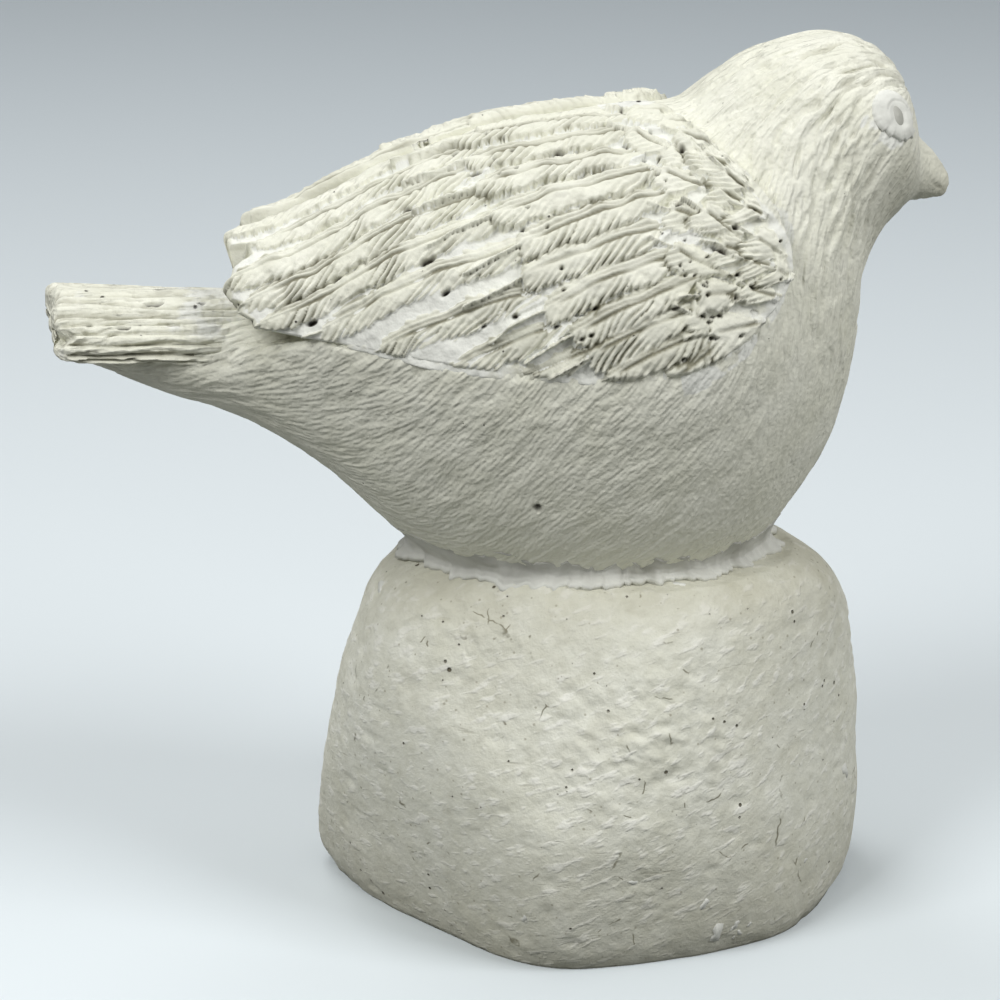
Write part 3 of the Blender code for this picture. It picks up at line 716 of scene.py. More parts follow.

# Cast resin: matt cream as it left the mould, with painted shade in the grooves and gaps, cool white where
# filler was brushed on, and small holes from trapped air, painted dark inside as shade. Fine strokes follow the
# carving.
resin, tree, shader, place = new_material("cast_resin")
groove, filler, pitted, tan, cavity = (
    add_node(tree, "ShaderNodeAttribute", attribute_name=name).outputs["Fac"]
    for name in ("groove", "filler", "pits", "tan", "cavity")
)
way = add_node(tree, "ShaderNodeAttribute", attribute_name="way").outputs["Vector"]
tone = ramp(tree, noise(tree, place, 1000 / 9, 4.0, Roughness=0.6), 0.3, 0.7)
spread = joined(tree, "ADD", filler, noise(tree, place, 1000 / 2.5, 3.0))
chance, distance = specks(tree, place, 1000 / 2.6)
size = joined(tree, "MULTIPLY", ramp(tree, chance[0], 0.5, 1.0, 0.0, 0.3), pitted)
hole = ramp(tree, joined(tree, "SUBTRACT", size, distance), 0.0, 0.06)
colour = blend(tree, tone, "#DFDFCF", "#EAEADD")
# The grooves' layer is painted shade, and the near-black of the holes is painted shade inside them.
for share, shade in (
    (ramp(tree, groove, 0.1, 1.0, 0.0, 0.9), "#7D7A65"),
    (tan, "#C9C2A6"),
    (ramp(tree, spread, 0.85, 1.05), "#E8E9E2"),
    (joined(tree, "MAXIMUM", hole, cavity), "#3F3B32"),
):
    colour = blend(tree, share, colour, shade)
# The fine strokes: one small noise read at several places along the way and added up, which draws it out.
strokes = None
for reach in np.linspace(-0.5, 0.5, 9) * 2.6 * MM:
    drawn = {0: way, 1: (reach,) * 3, 2: place}
    moved = add_node(tree, "ShaderNodeVectorMath", drawn, operation="MULTIPLY_ADD").outputs[0]
    fine = noise(tree, moved, 1000 / 0.6, 0.0)
    strokes = fine if strokes is None else joined(tree, "ADD", strokes, fine)
combing = add_node(tree, "ShaderNodeVectorMath", {0: way}, operation="LENGTH").outputs["Value"]
grain = noise(tree, place, 1000 / 0.7, 4.0)
relief = bumps(tree, (strokes, combing, 0.11, False), (grain, 0.6, 0.3, False), (hole, 1.0, 0.4, True))
give(shader, {"Base Color": colour, "Normal": relief, "Roughness": 0.8, "Specular IOR Level": 0.3})
piece_from("bird_trunk", trunk_mesh, resin, "resin", "bird_body")

# The wings: two thick plates cast apart and bonded to the flanks. The feathers are carved into one skin, each
# with a shaft line and slanting barbs, and white filler was brushed over them and into the gaps, trapping air.
WING_THICKNESS = 5.0
WING_STEP = 0.25  # mm between rows of points on the carved face
WING_COLUMNS, UNDER_COLUMNS = 200, 20  # points from the upper edge to the lower one, and back underneath
LINE_WIDTH = 0.28  # mm, half the width of a cut shaft or vane line
NECK_WAY = np.array([0.42, 0, 0.9])  # of the neck's strokes where the wing's front edge meets them
LEFT_TIP_SHORTER = 0.3  # in section numbers
WING_TIP = np.array((  # angle from the top, and the section number at which the notched end lies there
    (7, 2.12),
    (10, 2.02),
    (17, 2.04),
    (21, 2.26),
    (31, 2.3),
    (37, 2.0),
    (50, 1.86),
    (57, 1.92),
    (60, 2.04),
    (66, 2.0),
    (70, 2.14),
    (76, 2.2),
))
FLIGHT_FEATHERS = (  # root section and angle, tip section and angle, width in mm, from the back down
    (5.45, 5, 2.02, 10, 4.8),
    (5.20, 14, 2.30, 27, 4.6),
    (5.20, 23, 1.86, 50, 5.3),
    (5.20, 32, 2.00, 65, 5.0),
    (5.20, 41, 2.16, 76, 4.8),
    (5.45, 50, 2.90, 75, 5.3),
    (5.45, 61, 3.55, 79, 5.0),
    (5.55, 69, 4.25, 82, 4.8),
    (5.75, 75, 4.80, 84, 4.3),
)
COVERT_FEATHERS = (
    (7.05, 4, 4.95, 4, 4.8),
    (6.90, 12, 4.72, 11, 4.6),
    (6.85, 20, 4.74, 22, 4.8),
    (6.85, 28, 4.76, 32, 4.8),
    (6.95, 35, 4.84, 42, 5.1),
    (6.90, 42, 5.05, 51, 5.3),
    (6.90, 50, 5.02, 59, 5.5),
    (6.95, 57, 5.18, 67, 5.3),
    (6.95, 64, 5.40, 73, 4.9),
    (6.98, 70, 5.52, 78, 4.8),
    (7.15, 76, 5.65, 83, 4.4),
    (7.45, 79, 6.30, 85, 4.0),
)
SCALE_FEATHERS = (  # root section and angle, tip section and angle, of the short ones on the shoulder
    (7.75, 17, 6.78, 7),
    (8.00, 22, 7.24, 14),
    (7.30, 31, 6.60, 19),
    (8.05, 31, 7.40, 23),
    (7.50, 43, 6.84, 33),
    (8.20, 42, 7.75, 32),
    (7.45, 54, 6.75, 44),
    (8.20, 53, 7.70, 43),
    (8.50, 61, 8.05, 51),
    (7.35, 63, 6.66, 56),
    (7.95, 66, 7.35, 57),
    (8.55, 71, 8.05, 62),
    (7.65, 74, 6.84, 66),
    (8.15, 79, 7.60, 69),
    (8.60, 80, 8.20, 71),
    (7.75, 83, 6.85, 75),
    (7.25, 76, 6.70, 70),
    (8.35, 49, 8.00, 41),
    (7.75, 36, 7.15, 27),
    (7.85, 57, 7.25, 49),
    (8.25, 73, 7.75, 64),
)


lay_sections, lay_degrees = np.linspace(0.6, 9.8, 160), np.arange(113)
lay_fans = trunk_points(lay_sections[:, None], np.radians(lay_degrees)[None], 1.0)
lay_around = np.cumsum(np.linalg.norm(np.diff(lay_fans, axis=1, prepend=lay_fans[:, :1]), axis=2), axis=1)
lay_along = np.append(0, np.cumsum(np.linalg.norm(np.diff(lay_fans[:, 45], axis=0), axis=1)))


def wing_map(section, degrees):
    """Places on a flat map of the wing's face in mm: along the body, and round it from the top."""
    section, degrees = np.asarray(section, float), np.asarray(degrees, float)
    row = np.clip((section - lay_sections[0]) / (lay_sections[1] - lay_sections[0]), 0, 158.99)
    i, j = row.astype(int), np.clip(degrees, 0, 111.99).astype(int)
    a, b = row - i, np.clip(degrees, 0, 111.99) - j
    near, far = (lay_around[i + n, j] * (1 - b) + lay_around[i + n, j + 1] * b for n in (0, 1))
    return np.stack([np.interp(section, lay_sections, lay_along), near * (1 - a) + far * a], -1)


def soft(value, low, high):
    """0 below the low value, 1 above the high one, and a smooth step between."""
    share = np.clip((value - low) / (high - low), 0, 1)
    return share * share * (3 - 2 * share)


# For each kind: mm between barbs, the shaft's share above the middle, the barbs' slant in degrees, how strong
# the upper vane's barbs are, where along it the tip starts to round, and how deep its barbs are cut in mm.
FEATHER_KINDS = {
    "flight": (1.95, 0.14, 35, 0.05, 0.7, 0.7),
    "covert": (1.75, 0.12, 37, 0.12, 0.62, 0.7),
    "scale": (1.4, 0.1, 46, 0.6, 0.3, 0.38),
}
for side, node in ((-1, "right_wing"), (1, "left_wing")):
    chance = np.random.default_rng(31 + side)
    shorter = LEFT_TIP_SHORTER if side > 0 else 0
    rows = np.array((WING_EDGES[0, 0] + shorter, WING_EDGES[-1, 0]))
    reach = np.interp(rows, lay_sections, lay_along)
    rows = np.interp(np.arange(reach[0], reach[1], WING_STEP), lay_along, lay_sections)
    share = np.append(np.linspace(0, 1, WING_COLUMNS), np.linspace(1, 0, UNDER_COLUMNS + 2)[1:-1])
    ring = len(share)
    under = np.tile(np.arange(ring) >= WING_COLUMNS, len(rows))
    upper, lower = (edge[:, None] for edge in wing_edges(rows))
    degrees = upper + (lower - upper) * share
    ragged_end = np.interp(degrees, *WING_TIP.T) + shorter - rows[0]
    near_tip = np.clip((3.2 - rows) / (3.2 - rows[0]), 0, 1)[:, None]
    section = (rows[:, None] + ragged_end * near_tip).ravel()
    degrees, share = degrees.ravel(), np.tile(share, len(rows))
    angle = side * np.radians(degrees)
    face, out = trunk_points(section, angle, 1.0), trunk_normals(section, angle, 1.0)
    spots = wing_map(section, degrees)

    feathers = []
    for s0, a0, s1, a1, width in FLIGHT_FEATHERS[::-1]:
        s1 += shorter if s1 < 3 else 0
        feathers.append(("flight", s0, a0, s1, a1, width, chance.uniform(-1.0, -0.75), 0.3))
    for s0, a0, s1, a1, width in COVERT_FEATHERS[::-1]:
        feathers.append(("covert", s0, a0, s1, a1, width, chance.uniform(-0.85, -0.55), 0.65))
    for s0, a0, s1, a1 in sorted(SCALE_FEATHERS):
        turn = chance.uniform(-2, 2)
        width = chance.uniform(5.0, 6.6)
        feathers.append(("scale", s0, a0 + turn, s1, a1 - turn, width, chance.uniform(-1.0, -0.4), 0.5))

    level, feather_shade, roots, holes = -1.3 + 0 * share, 0.2 + 0 * share, 0 * share, 0 * share
    for number, (kind, s0, a0, s1, a1, width, lift, rise) in enumerate(feathers):
        gap, shaft, slant, upper_barbs, full, cut = FEATHER_KINDS[kind]
        seed, half = 200 + 3 * number + 150 * (side > 0), width / 2
        root, tip = wing_map(s0, a0), wing_map(s1, a1)
        length = np.linalg.norm(tip - root)
        axis = (tip - root) / length
        along, across = (spots - root) @ axis / length, (spots - root) @ (axis[1], -axis[0]) / half
        near = np.flatnonzero((along > -0.12) & (along < 1.3) & (np.abs(across) < 1.6) & ~under)
        along, across = along[near], across[near]
        flat = np.column_stack([spots[near], np.full(len(near), 9.0 * seed)])
        wander, uneven = lumps(flat, 3.0, seed), lumps(flat, 3.6, seed + 1)
        fray = lumps(flat, 0.9, seed + 2)
        worn = np.clip(0.6 + 0.9 * lumps(flat, 4.5, seed + 3), 0.1, 1) * (0.35 if min(a0, a1) < 6 else 1)
        # Where each point lies: off the shaft, from root to tip along its barb, and beyond the outline past 1.
        middle = shaft * (1 - 0.5 * along)
        off = across + middle + 0.1 * wander
        vane = off / np.where(off > 0, 1 + middle, 1 - middle)
        lead = half / math.tan(math.radians(slant)) / length
        start = (along - np.abs(off) ** 1.15 * lead) / (1 - 0.5 * lead)
        outline = np.clip(start / 0.12 + 0.3, 0.05, 1) ** 0.5
        outline = outline * np.clip(1 - np.clip((start - full) / (1 - full), 0, 1) ** 2.4, 0.02, 1) ** 0.6
        below = off > 0
        barb = start * length / gap + 0.7 * uneven + 0.3 * wander
        dice = np.random.default_rng(seed).uniform(-1, 1, (2, 200))
        rag, bold = dice[:, (np.floor(barb).astype(int) * 2 + below) % 200]
        ridge = 0.5 - 0.5 * np.cos(2 * np.pi * barb)
        beyond = np.abs(vane) / outline * (1 - 0.07 * rag - 0.12 * (ridge - 0.5) - 0.1 * fray)
        inner = np.minimum(beyond, 1)
        # The height: crowned below the shaft and flatter above it, less the barbs, vane lines and shaft line.
        lower_half = soft(off * half, -0.3, 0.3)
        crown = lower_half * (0.9 - 0.5 * inner**1.8)
        crown += (1 - lower_half) * (0.6 + 0.4 * np.sin(np.pi * inner**0.7) - 0.5 * inner**4)
        barbs = cut * np.where(below, 1.0, upper_barbs) * (0.35 + 0.65 * inner) * (1 + 0.85 * bold)
        barbs = barbs * worn * (1 - ridge) ** 1.5
        barbs = barbs * np.clip(inner / 0.15, 0, 1)
        lines = sum(bell((vane + at + 0.1 * wander) * half / LINE_WIDTH) for at in (0.34, 0.68))
        lines = (1 - upper_barbs) * 0.4 * np.clip(worn + 0.2, 0, 1) * lines * ~below
        shaft_line = 0.5 * bell(off * half / LINE_WIDTH) * soft(1 - start, 0.05, 0.2)
        shaft_line = shaft_line * np.clip(0.4 + worn, 0, 1)
        carved = lift + rise * along + 0.35 * vane + crown - barbs - lines - shaft_line
        carved = carved + 0.25 * wander + 0.12 * fray
        # It is laid over the feathers before it, with a sunk seam under its lower edge and holes along it;
        # shade is painted in its cuts and in the seam.
        inside = np.where(below, soft(beyond, 1.06, 0.94), soft(beyond, 1.1, 0.8))
        shade_share = 0.12 + 0.16 * wander + 0.85 * barbs + 1.3 * lines + 1.7 * shaft_line
        seam = bell((beyond - 1.1) / 0.1) * below * soft(along, 0.1, 0.3)
        seam = seam * np.clip(0.5 + uneven, 0, 1)
        level[near] += (carved - level[near]) * inside - 0.6 * seam
        feather_shade[near] += (shade_share - feather_shade[near]) * inside + 0.8 * seam
        roots[near] = np.maximum(roots[near] * (1 - inside), inside * np.clip(1 - start / 0.2, 0, 1))
        for _ in range(chance.integers(0, 2 if kind == "scale" else 3)):
            at, wide = chance.uniform(0.02, 1.0), chance.uniform(0.14, 0.32)
            long = wide * chance.uniform(1.0, 3.2)
            from_hole = np.hypot((along - at) * length / long, (vane - 1.06) * half / wide) - 0.4 * fray
            holes[near] = np.maximum(holes[near], np.clip(1.6 - from_hole, 0, 1))

    # Small round holes that trapped air left, mostly where one row of feathers meets the next.
    dice = np.random.default_rng(61 + side)
    for kind, s0, a0, _, _, width, _, _ in feathers:
        fewest, most = (0, 1) if kind == "scale" else (1, 3)
        for _ in range(dice.integers(fewest, most + 1)):
            away = dice.uniform(-1, 1, 2) * (1.6, 0.55 * width)
            wide = dice.uniform(0.12, 0.25, 2) * (1.3, 1)
            from_hole = np.linalg.norm((spots - wing_map(s0, a0) - away) / wide, axis=1)
            holes = np.maximum(holes, np.where(under, 0, np.clip(1.6 - from_hole, 0, 1)))

    # The brushed filler: it lies in the gaps and over the roots, and hides the barbs where it is thick.
    shoulder = soft(section, 7.0, 7.6)
    fill = -0.92 + 0.6 * lumps(face, 5.5, 41 + side) + 0.25 * lumps(face, 1.8, 43 + side)
    fill = fill + (0.82 + 0.35 * lumps(face, 2.2, 51)) * roots
    fill = fill + 0.4 * soft(degrees, 45, 70) * soft(section, 5.8, 4.6) + 0.42 * shoulder
    # Painted shade in the cuts and seams where no filler covers them, and more on the wing's lower part.
    feather_shade = 1.35 * np.clip(feather_shade, 0, 1) ** 1.5 + 0.1 * soft(degrees, 48, 72) * (1 - shoulder)
    level += shoulder * (0.16 * lumps(face, 1.5, 45 + side) + 0.14 * lumps(face, 0.8, 47 + side))
    filled = soft(fill - level, -0.15, 0.25)
    level = np.logaddexp(9 * level, 9 * fill) / 9 + (0.05 + 0.07 * filled) * lumps(face, 0.9, 49 + side)
    # It is thin along the front edge, which runs into the neck's strokes, and at the tip.
    front = shoulder * soft(degrees - np.repeat(upper.ravel(), ring), 10, 3)
    from_tip = np.repeat(np.arange(len(rows)) * WING_STEP, ring)
    white = filled * (1 - 0.5 * shoulder) * (1 - 0.7 * front)
    white *= np.clip(from_tip / 2.5, 0.2, 1)
    ways = NECK_WAY - out * (out @ NECK_WAY)[:, None]
    # The edges round off, and the plate closes underneath.
    rim = np.minimum(np.minimum(share, 1 - share) * 48, from_tip)
    level -= 1.3 * np.clip(1 - rim, 0, 1) ** 2 + 1.1 * holes
    beneath = np.interp(share, (0.7, 1), (-WING_THICKNESS, -2.4))
    points = face + out * np.where(under, beneath, level)[:, None]
    ring_turns = [np.linspace(0, 1, ring, endpoint=False)] * len(rows)
    wing_mesh = skin_from(
        node,
        points,
        ring_turns,
        side < 0,
        groove=np.clip(feather_shade * (1 - white), 0, 1),
        filler=np.where(under, 0, white),
        pits=0.3 + 0.5 * white,
        cavity=holes,
        way=front[:, None] * ways,
    )
    piece_from(node + "_feathers", wing_mesh, resin, "resin", node)

# The tail: a blunt slab of long ridged feathers, cast apart and bonded under the wing tips. Filler was pressed
# into its root, and the casting left long holes between the ridges.
TAIL_TIP_X, TAIL_LENGTH = -68.1, 35.0
TAIL_ROOT_Z, TAIL_TIP_Z = SEAT_Z + 0.476 * BIRD_HEIGHT, SEAT_Z + 0.513 * BIRD_HEIGHT
TAIL_WIDTHS, TAIL_DEPTHS = (19.0, 27.0), (8.2, 7.4)  # at the root and at the tip
TAIL_DROOP = 3.0  # mm that its sides hang below its middle
TAIL_ROUNDNESS = 0.7
TAIL_STEP = 0.29
TAIL_END_ROUND = 1.7
TAIL_RIDGES, RIDGE_DEPTH = 26, 1.05
CUT_WIDTH, CUT_LENGTH, CUT_DEPTH = 0.62, 6, 0.5  # of the fine cuts along the ridges
TAIL_HOLES = (  # share of the length, turn in degrees, and half length and half width in mm
    (0.56, -17, 1.2, 0.26),
    (0.34, 1, 0.5, 0.3),
    (0.37, -17, 0.4, 0.25),
    (0.70, -52, 0.9, 0.22),
    (0.85, -47, 0.6, 0.22),
    (0.68, -98, 0.9, 0.25),
    (0.50, 40, 1.2, 0.3),
    (0.72, 170, 1.4, 0.3),
)


def tail_points(share, turn, shrink=0.0):
    """Points on the tail at shares of its length and at turns from its top, towards the left."""
    across = np.sign(np.sin(turn)) * np.abs(np.sin(turn)) ** TAIL_ROUNDNESS
    upward = np.sign(np.cos(turn)) * np.abs(np.cos(turn)) ** TAIL_ROUNDNESS
    half_width, half_depth = (
        (root + (tip - root) * share) / 2 - shrink for root, tip in (TAIL_WIDTHS, TAIL_DEPTHS)
    )
    z = TAIL_ROOT_Z + (TAIL_TIP_Z - TAIL_ROOT_Z) * share
    x = TAIL_TIP_X + TAIL_LENGTH * (1 - share)
    return np.stack([x, half_width * across, z + half_depth * upward - TAIL_DROOP * across**2], -1)


over, end_shrinks = np.linspace(0, np.pi / 2, 8)[1:], (2.2, 2.8, 3.4)  # round the edge, and across the end
straight = np.linspace(0, 1 - TAIL_END_ROUND / TAIL_LENGTH, int(TAIL_LENGTH / TAIL_STEP))
rounded = 1 - TAIL_END_ROUND / TAIL_LENGTH * (1 - np.sin(over))
shares = np.concatenate([straight, rounded, np.ones(len(end_shrinks))])
shrink = np.concatenate([0 * straight, TAIL_END_ROUND * (1 - np.cos(over)), end_shrinks])
turns = round_angles(int(1.2 * sum(TAIL_WIDTHS) / TAIL_STEP))
share_grid, turn_grid = every_pair(shares, turns)
shrink = np.repeat(shrink, len(turns))
points = tail_points(share_grid, turn_grid, shrink)
out = tail_points(share_grid, turn_grid) - tail_points(share_grid, turn_grid, 1.0)
ways = np.stack([np.ones(len(points)), -0.12 * points[:, 1] / 13, 0 * share_grid], -1)
lines = combed(points * (1, 1, 1.5), ways, CUT_WIDTH, CUT_LENGTH, 52)
count = turn_grid / (2 * np.pi) * TAIL_RIDGES + 0.5 * lumps(points * (0.12, 1, 1), 2.6, 51)
ridge = np.round(count).astype(int) % TAIL_RIDGES
bold = np.random.default_rng(53).uniform(0.45, 1.1, TAIL_RIDGES)[ridge]
bold = np.clip(bold + 0.4 * lumps(points * (0.3, 1, 1), 2, 54), 0.2, 1.2)
gap = np.abs(2 * (count - np.round(count))) ** 2.2 * bold
cuts = np.clip((0.4 - lines) / 1.9, 0, 1)
from_top = degrees_from_top(turn_grid)
holes = 0 * share_grid
for at, turn, long, wide in TAIL_HOLES:
    off = points - tail_points(np.array([at]), np.radians([turn]))
    from_hole = np.hypot(off[:, 0] / long, np.hypot(off[:, 1], off[:, 2]) / wide)
    from_hole = from_hole + 0.5 * lumps(points, 0.7, 58)
    holes = np.maximum(holes, np.clip(1.5 - from_hole, 0, 1))
bite = (RIDGE_DEPTH * gap + CUT_DEPTH * cuts + 0.1) * np.clip(1 - shrink / end_shrinks[0], 0, 1)
points = points - out * (bite + 0.9 * holes)[:, None]
# The blunt end: the ridges stop at different lengths, in two lobes on each side.
flat = np.stack([0 * turn_grid, points[:, 1], 0.6 * points[:, 2]], -1)
short = 0.15 + 0.8 * lumps(flat, 5, 55) + 0.6 * lumps(flat, 1.9, 56) + 2.0 * np.abs(points[:, 1] / 13.5) ** 3
short = np.clip(short + 1.7 * bell((from_top - 64) / 14), 0, 6)
points[:, 0] += short * np.clip(share_grid * 4 - 3, 0, 1)
ring_turns = [turns / (2 * np.pi)] * len(shares)
daubs = 0.55 * bell((share_grid - 0.36) / 0.12) * np.clip(np.cos(turn_grid) * 2, 0, 1)
daubs = daubs + 0.5 * bell((share_grid - 0.1) / 0.12) + 0.4 * lumps(points, 3, 57)
# Shade is painted in the gaps between the ridges and in the fine cuts along them.
tail_mesh = skin_from(
    "tail_feathers",
    points,
    ring_turns,
    True,
    groove=np.clip(0.8 * gap**1.5 + 0.5 * cuts, 0, 1),
    cavity=holes,
    way=0.9 * ways,
    filler=np.clip(daubs, 0, 1),
    pits=0.5 + 0.5 * gap,
)
piece_from("tail_feathers", tail_mesh, resin, "resin", "tail_fan")

# The eye rims: a ring of white filler pressed on round each eye and smoothed with a wet brush, so it is a low
# soft dome with a pocket for the bead and a lid line above it, with shade painted along the lid line and at its
# back edge, for a gap where it came off the head.
RIM_POINTS = 120  # round the rim
POCKET_FRONT, POCKET_UP = 0.1, -0.15  # mm from the middle of the rim to the middle of the bead's pocket
EYE_OUTLINE = (  # bearing from the front in degrees, upwards, and the rim's reach in mm; it tapers to the beak
    (4, 3.9),
    (41, 4.0),
    (83, 4.1),
    (112, 4.15),
    (136, 4.2),
    (162, 4.3),
    (190, 3.8),
    (222, 3.2),
    (255, 3.6),
    (285, 4.7),
    (300, 5.0),
    (318, 4.6),
    (340, 4.0),
)


def on_head(side, right, up, height):
    """Points by mm to the bird's front and up from the middle of an eye, at heights off the head's skin."""
    section, angle = EYE_SECTION, math.radians(EYE_ANGLE)
    middle = trunk_points(np.array(section), np.array(angle))
    ahead = (trunk_points(np.array(section + 0.01), np.array(angle)) - middle) / 0.01
    down = (trunk_points(np.array(section), np.array(angle + 0.01)) - middle) / 0.01
    out = trunk_normals(np.array(section), np.array(angle))
    rise = np.array([0, 0, 1]) - out * out[2]
    rise /= np.linalg.norm(rise)
    front = np.cross(rise, out) * -1
    front *= np.sign(front[0])
    way = np.outer(right, front) + np.outer(up, rise)
    moves = np.linalg.lstsq(np.stack([ahead, down], -1), way.T, rcond=None)[0]
    sections, angles = section + moves[0], angle + moves[1]
    points = trunk_points(sections, angles) + trunk_normals(sections, angles) * np.asarray(height)[:, None]
    return points * (1, side, 1)


def dome_faces(rings, count, flip):
    """Faces of a closed dome given ring by ring from its rim, with one point in the middle at the end."""
    grid = np.arange(rings * count).reshape(rings, count)
    beside = np.roll(grid, -1, axis=1)
    faces = np.stack([grid[:-1], beside[:-1], beside[1:], grid[1:]], -1).reshape(-1, 4).tolist()
    faces += [(a, b, rings * count) for a, b in zip(grid[-1], beside[-1])]
    faces.append(tuple(grid[0][::-1]))
    return [face[::-1] for face in faces] if flip else faces


turns = round_angles(RIM_POINTS)
reach = np.concatenate([[1.0, 1.0, 0.985], np.linspace(0.96, 0.04, 26)])
ring_grid, turn_grid = every_pair(np.arange(len(reach)), turns)
radius = reach[ring_grid]
bearing, rim_reach = np.array(EYE_OUTLINE, float).T
degrees = np.degrees(turn_grid)
outline = sum(np.interp(degrees + d, bearing, rim_reach, period=360) for d in (-16, -8, 0, 8, 16)) / 5
teeth = lumps(np.stack([9 * np.cos(turn_grid), 9 * np.sin(turn_grid), 0 * turn_grid], -1), 0.9, 60)
outline = outline * (1 + np.where(np.sin(turn_grid) < -0.4, 0.09, 0.03) * teeth)
right, up = outline * radius * np.cos(turn_grid), outline * radius * np.sin(turn_grid)
dome = np.interp(radius, (0, 0.55, 0.75, 0.9, 0.96, 1), (0.55, 0.55, 0.46, 0.26, 0.0, -0.38))
pocket = np.hypot((right - POCKET_FRONT) / 1.3, (up - POCKET_UP) / 1.95)
height = np.where(ring_grid == 0, -1.2, np.where(ring_grid == 1, -0.45, dome + 0.05))
height -= np.where(ring_grid > 2, 0.4 * np.clip(1.25 - pocket, 0, 1), 0)
lid = bell((np.hypot(right - 0.35, up + 0.3) - 2.35) / 0.16) * (up > 0.7) * (right > -1.6)
height -= 0.1 * lid
# Painted shade in a band at the rim's back edge, and faintly along the lid line.
gap = bell((degrees - 196) / 15) * (radius > 0.96)
for side, node in ((-1, "right_eye_ring"), (1, "left_eye_ring")):
    skin = on_head(side, np.append(right, 0.0), np.append(up, 0.0), np.append(height, 0.2))
    skin = skin + 0.08 * jitter(skin, 1.1, 61)
    faces = dome_faces(len(reach), RIM_POINTS, side < 0)
    rim_mesh = mesh_from(node, skin, faces, groove=np.clip(0.18 * lid + gap, 0, 1))
    piece_from(node + "_rim", rim_mesh, chalk, "filler", node)

# The eyes: small oval beads of grey resin, turned and polished a little, and set into the pockets of the rims
# while the filler was soft.
EYE_WIDTH, EYE_HEIGHT = 2.1, 3.2
turns = turns[::3]
reach = np.concatenate([[1.0], np.cos(np.linspace(0, np.pi / 2, 12))[:-1]])
ring_grid, turn_grid = every_pair(np.arange(len(reach)), turns)
radius = reach[ring_grid]
right = POCKET_FRONT + EYE_WIDTH / 2 * radius * np.cos(turn_grid)
up = POCKET_UP + EYE_HEIGHT / 2 * radius * np.sin(turn_grid)
height = np.where(ring_grid == 0, -0.6, 0.28 + 0.2 * np.sqrt(np.clip(1 - radius**2, 0, 1)))

# Grey bead resin: satin, with faint cloudy mottling.
bead, tree, shader, place = new_material("grey_bead_resin")
colour = blend(tree, noise(tree, place, 1000 / 1.2, 3.0), "#A3A49C", "#BDBDB4")
give(shader, {"Base Color": colour, "Roughness": 0.45})
for side, node in ((-1, "right_eye"), (1, "left_eye")):
    skin = on_head(side, np.append(right, POCKET_FRONT), np.append(up, POCKET_UP), np.append(height, 0.54))
    eye_mesh = mesh_from(node, skin, dome_faces(len(reach), len(turns), side < 0))
    piece_from(node + "_bead", eye_mesh, bead, "eye_resin", node)

# The wing fillers: white filler smeared into the corner under each wing's lower edge with a finger, so it is an
# uneven strip that fades out on the flank.
STRIP_FROM, STRIP_TO = 3.3, 7.9  # section numbers at its ends
STRIP_ROWS, STRIP_COLUMNS = 300, 16
for side, node in ((-1, "right_wing_filler"), (1, "left_wing_filler")):
    runs, share = np.linspace(STRIP_FROM, STRIP_TO, STRIP_ROWS), np.linspace(0, 1, STRIP_COLUMNS)
    flat = np.stack([runs * 12, 0 * runs + 40 * side, 0 * runs], -1)
    fade = np.clip(np.minimum(runs - STRIP_FROM, STRIP_TO - runs) / 0.4, 0, 1) ** 0.5
    reach = np.interp(runs, (STRIP_FROM, 4.4, 5.2, STRIP_TO), (0.5, 1.0, 0.8, 0.4))
    reach = fade * np.clip(reach * (1 + 0.7 * lumps(flat, 6, 71)) + 0.3 * lumps(flat, 2.0, 72), 0.2, 9)
    edge = wing_edges(runs)[1]
    section = np.repeat(runs, STRIP_COLUMNS)
    degrees = (edge[:, None] - 3 + (3 + reach[:, None]) * share).ravel()
    angle = side * np.radians(degrees)
    past = np.clip((degrees - np.repeat(edge, STRIP_COLUMNS) + 1) / 3, 0, 1)[:, None]
    skin = trunk_points(section, angle, 1.0) - trunk_normals(section, angle, 1.0) * 0.6
    skin = skin * (1 - past) + flank_points(section, angle) * past
    out = trunk_normals(section, angle)
    thick = 0.45 * np.sin(np.pi * np.tile(share, STRIP_ROWS)) ** 0.6 - 0.35
    thick = thick + 0.28 * lumps(skin, 2.2, 73) + 0.2 * lumps(skin * (2, 2, 0.6), 1.4, 74)
    skin = (skin + out * thick[:, None]).reshape(STRIP_ROWS, STRIP_COLUMNS, 3)
    behind = [STRIP_COLUMNS - 1, STRIP_COLUMNS // 2, 0]
    back = skin[:, behind] - out.reshape(skin.shape)[:, behind] * 1.2
    points = np.concatenate([skin, back], axis=1).reshape(-1, 3)
    ring_turns = [np.linspace(0, 1, STRIP_COLUMNS + len(behind), endpoint=False)] * STRIP_ROWS
    # An even painted shade over the strip, which lies in the corner under the wing.
    pits, shade_share = (np.full(len(points) + 2, even) for even in (0.8, 0.3))  # on the middles of the fans too
    patchy = 0.5 + 0.45 * lumps(points, 4, 75)
    strip_mesh = skin_from(node, points, ring_turns, side < 0, filler=patchy, pits=pits, groove=shade_share)
    piece_from(node + "_smear", strip_mesh, resin, "filler", node)

# The seat filler: a thick bead of white filler pressed all round between the belly and the boulder, drawn up
# the belly in brush points and rounded over below.
SEAT_MIDDLE = (BOULDER_X + 3.0, 0.0)
SEAT_POINTS = 420  # round the bead
UNDER_BEAD = 50.0  # mm, the lowest that its hidden side goes


def grid_faces(rows, columns):
    """Quads over a grid of points, row by row."""
    grid = np.arange(rows * columns).reshape(rows, columns)
    return np.stack([grid[:-1, :-1], grid[1:, :-1], grid[1:, 1:], grid[:-1, 1:]], -1).reshape(-1, 4)


